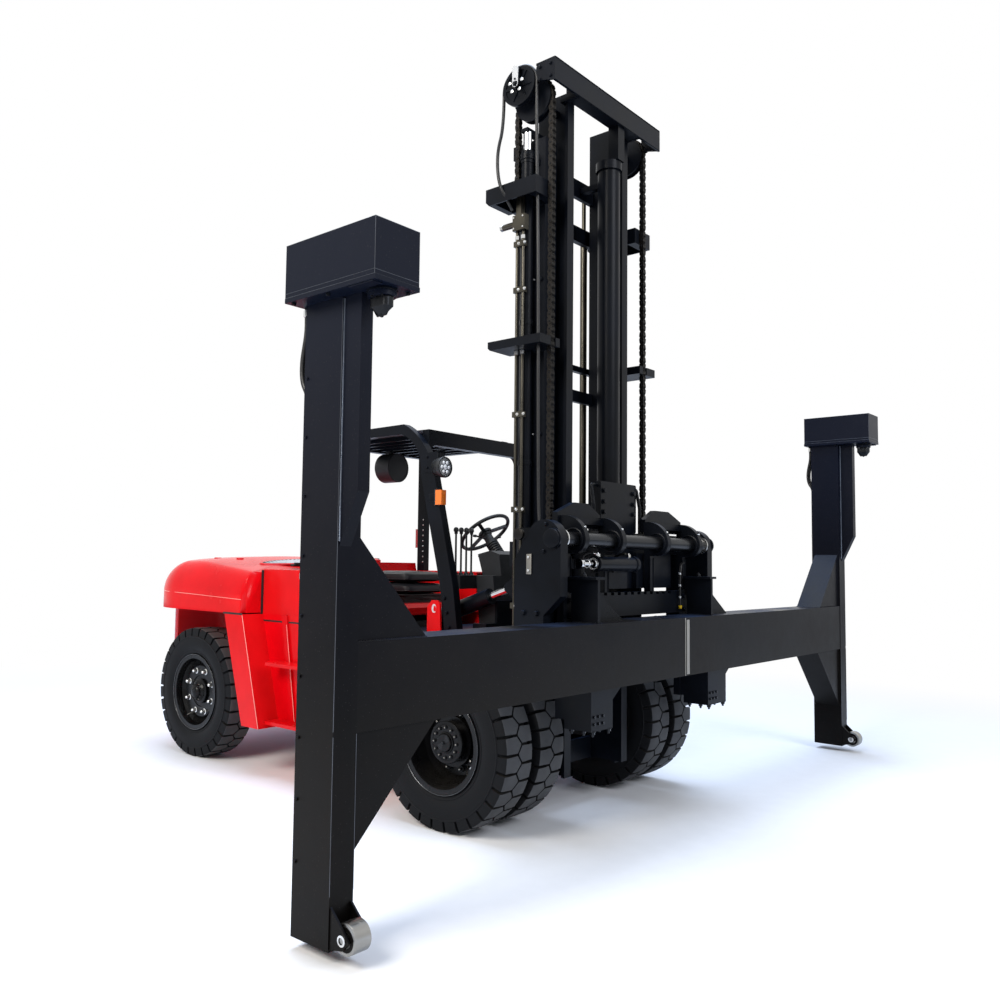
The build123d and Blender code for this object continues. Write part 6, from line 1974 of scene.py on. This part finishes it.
@dataclass
class SpreaderDressing:
    """Weld seams, bolts, primer band, lock and roller details of the container frame."""

    palette: Palette
    post_rear: float = 0.648
    post_front: float = 0.882
    post_in: float = 2.842
    post_out: float = 2.969
    beam_front: float = 0.879
    beam_rear: float = 0.660
    beam_low: float = 0.879
    beam_top: float = 1.249
    box_low: float = 2.689
    box_top: float = 2.918
    box_rear: float = 0.604
    box_front: float = 1.155
    box_in: float = 2.803
    box_out: float = 3.050
    extension_edges: tuple[float, float] = (2.893, 2.959)
    lock_x: float = 1.070
    lock_y: float = 2.9265
    roller_x: float = 0.955
    roller_z: float = 0.112
    hose_ys: tuple[float, float] = (2.939, 2.905)

    def seams(self) -> None:
        """Weld beads, cover screws and painted highlight lines on the arrises of posts, gussets and boxes.
        """
        art = Sculpt("spreader_welds", "spreader", self.palette)
        for side in Side:
            s = side.value
            for x in (self.beam_rear + 0.009, self.beam_front - 0.014):
                for z_post, z_beam, reach in ((1.695, self.beam_top, 0.430), (0.390, self.beam_low, 0.500)):
                    art.weld(span(x, s * (self.post_in - 0.003), z_beam),
                             span(x, s * (self.post_in - 0.003), z_post), 0.005, "frame_paint")
                    art.weld(span(x, s * (self.post_in - reach), z_beam), span(x, s * self.post_in, z_beam),
                             0.005, "frame_paint")
            for x in (self.post_rear + 0.002, self.post_front - 0.002):
                art.weld(span(x, s * (self.post_in + 0.004), self.box_low - 0.021),
                         span(x, s * (self.post_out - 0.004), self.box_low - 0.021), 0.005, "frame_paint")
            # beads down the post's upper extension, pale as a painted highlight
            for y in self.extension_edges:
                art.weld(span(self.post_front + 0.001, s * y, 1.66),
                         span(self.post_front + 0.001, s * y, 2.66), 0.005, "weld_bead_highlight")
            # painted highlight lines along the seam of the top box's floor and on its arrises
            levels = (self.box_low + 0.0006, self.box_low + 0.019, self.box_top - 0.0006)
            for y in (self.box_in - 0.0004, self.box_out - 0.0002):
                for z in levels:
                    art.hose([span(self.box_rear, s * y, z), span(self.box_front, s * y, z)], 0.0012,
                             "arris_highlight", 6, 4)
                art.hose([span(self.box_front, s * y, self.box_low),
                          span(self.box_front, s * y, self.box_top)], 0.0012, "arris_highlight", 6, 4)
            for z in levels:
                art.hose([span(self.box_front, s * self.box_in, z),
                          span(self.box_front, s * self.box_out, z)], 0.0012, "arris_highlight", 6, 4)
            for z in (self.beam_low, self.beam_top):
                art.weld(span(self.post_front - 0.002, s * (self.post_in - 0.002), z),
                         span(self.beam_rear, s * (self.post_in - 0.002), z), 0.004, "frame_paint")
            # painted highlight lines on the arrises of the post, the gusset and the beam
            for x, y in ((self.post_front + 0.0006, self.post_out - 0.0006),
                         (self.post_front + 0.0006, self.post_in + 0.0006)):
                art.hose([span(x, s * y, 0.26), span(x, s * y, 0.878)], 0.0012, "arris_highlight", 6, 6)
            art.hose([span(self.post_front + 0.0006, s * (self.post_out - 0.0006), 0.90),
                      span(self.post_front + 0.0006, s * (self.post_out - 0.0006), 2.66)], 0.0012,
                     "arris_highlight", 6, 6)
            # row of cover screws down the post's outer face
            for i in range(9):
                z = 0.35 + 0.25 * i
                art.nut(span(self.post_rear + 0.02, s * self.post_out, z), (0, s, 0), 0.013, "frame_paint",
                        False)
            # bolts in the box's floor, clear of the lock
            for x, y in ((0.64, 2.83), (0.64, 3.03), (0.86, 2.83), (0.86, 3.03), (1.12, 2.83)):
                art.nut(span(x, s * y, 2.669), (0, 0, -1), 0.016, "black_paint", True)
        art.finish(35)

    def band(self) -> None:
        """Grey primer strip over the beam's middle joint and sealer lines beside it."""
        art = Sculpt("primer_band", "spreader", self.palette)
        art.block(span(self.beam_front + 0.0042, 0.010, self.beam_low + 0.010),
                  span(self.beam_front + 0.0052, 0.046, self.beam_top - 0.014), "primer_grey", 0.0003)
        art.block(span(self.beam_front - 0.002, -0.004, self.beam_low + 0.001),
                  span(self.beam_front + 0.0022, 0.004, self.beam_top - 0.001), "primer_grey", 0.0008)
        art.block(span(self.beam_rear, -0.004, self.beam_top - 0.001),
                  span(self.beam_front, 0.004, self.beam_top + 0.002), "frame_paint", 0.0008)
        art.finish(35)

    def locks(self) -> None:
        """Collar rings, collar bolts and pointed tips of the twist-locks."""
        for side in Side:
            s, name = side.value, side.name.lower()
            art = Sculpt(f"{name}_lock_trim", f"{name}_twistlock", self.palette)
            tip = span(self.lock_x, s * self.lock_y, 2.561)
            art.lathe([(0, 0.0), (0.002, 0.006), (0.008, 0.010), (0.012, 0.010)],
                      tip - Vector((0, 0, 0.006)), (0, 0, 1), "dark_steel", 20)
            art.finish(35)
            seat = Sculpt(f"{name}_lock_collar", "spreader", self.palette)
            for k in range(6):
                a = tau * k / 6 + 0.3
                seat.nut(span(self.lock_x + 0.047 * cos(a), s * self.lock_y + 0.047 * sin(a), 2.637),
                         (0, 0, -1), 0.010, "dark_steel", False)
            seat.lathe([(0, 0.0582), (0.001, 0.064), (0.006, 0.064), (0.008, 0.0582)],
                       span(self.lock_x, s * self.lock_y, 2.656), (0, 0, 1), "black_paint", 48, capped=False)
            seat.finish(35)

    def rollers(self) -> None:
        """Bright tread, washers and pin heads at the ground rollers."""
        for side in Side:
            s, name = side.value, side.name.lower()
            art = Sculpt(f"{name}_roller_trim", f"{name}_roller", self.palette)
            mid = span(self.roller_x, s * (self.post_in + self.post_out) / 2, self.roller_z)
            art.lathe([(-0.040, 0.0595), (-0.037, 0.0624), (-0.012, 0.0622), (-0.011, 0.0612),
                       (0.011, 0.0612),
                       (0.012, 0.0622), (0.037, 0.0624), (0.040, 0.0595)], mid, (0, 1, 0), "bright_steel",
                      56, capped=False)
            for w in (-1, 1):
                face = mid + Vector((0, w * 0.0423, 0))
                art.lathe([(-0.0005, 0.050), (0.0005, 0.049), (0.0005, 0.034), (-0.0005, 0.033)], face,
                          (0, w, 0), "frame_paint", 40, capped=False)
            art.finish(35)
            plate = Sculpt(f"{name}_roller_pins", "spreader", self.palette)
            for w in (-1, 1):
                y = s * (self.post_in + self.post_out) / 2 + w * 0.058
                plate.lathe([(0, 0.0135), (0.001, 0.022), (0.005, 0.022), (0.006, 0.0135)],
                            span(self.roller_x, y, self.roller_z), (0, w, 0), "nut_zinc", 24, capped=False)
                plate.weld(span(self.post_front + 0.001, y - w * 0.005, 0.060),
                           span(self.post_front + 0.001, y - w * 0.005, 0.215), 0.004, "frame_paint")
            plate.finish(35)

    def hoses(self) -> None:
        """Clips and unions of the hoses behind the posts."""
        art = Sculpt("post_hose_clips", "spreader", self.palette)
        for side in Side:
            s = side.value
            for z in (1.56, 1.86, 2.16):
                for y in self.hose_ys:
                    art.lathe([(0, 0.0125), (0.001, 0.0155), (0.019, 0.0155), (0.020, 0.0125)],
                              span(0.636, s * y, z), (0, 0, 1), "nut_zinc", 20, capped=False)
                lo, hi = sorted((s * 2.890, s * 2.954))
                art.block(span(0.6475, lo, z + 0.002), span(0.6482, hi, z + 0.018), "nut_zinc", 0.0002)
            for y in self.hose_ys:
                art.lathe([(0, 0.012), (0.002, 0.017), (0.030, 0.017), (0.034, 0.012)],
                          span(0.618, s * y, 2.630), (0, 0, 1), "nut_zinc", 6, capped=False)
                art.lathe([(0, 0.012), (0.002, 0.017), (0.026, 0.017), (0.030, 0.012)],
                          span(0.636, s * y, 1.500), (0, 0, 1), "nut_zinc", 6)
        art.finish(35)

    def build(self) -> None:
        """Build all of the frame's fine pieces."""
        self.seams()
        self.band()
        self.locks()
        self.rollers()
        self.hoses()


def main() -> None:
    """Build the scene, sub-assembly by sub-assembly."""
    logging.basicConfig(level=logging.INFO, format="%(name)s %(message)s")
    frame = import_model()
    palette = Palette()
    slots = {row["node"]: row["material_slot"] for row in frame["record"]["subparts"]}
    Studio().build()
    FrameDresser(palette).dress(frame["nodes"], slots)
    RunningGear(palette).build()
    casting = Counterweight(palette)
    casting.cast(frame["nodes"]["counterweight"])
    casting.trim()
    CabDressing(palette).build()
    MastDressing(palette).build()
    CarriageDressing(palette).build()
    SpreaderDressing(palette).build()


if __name__ == "__main__":
    main()
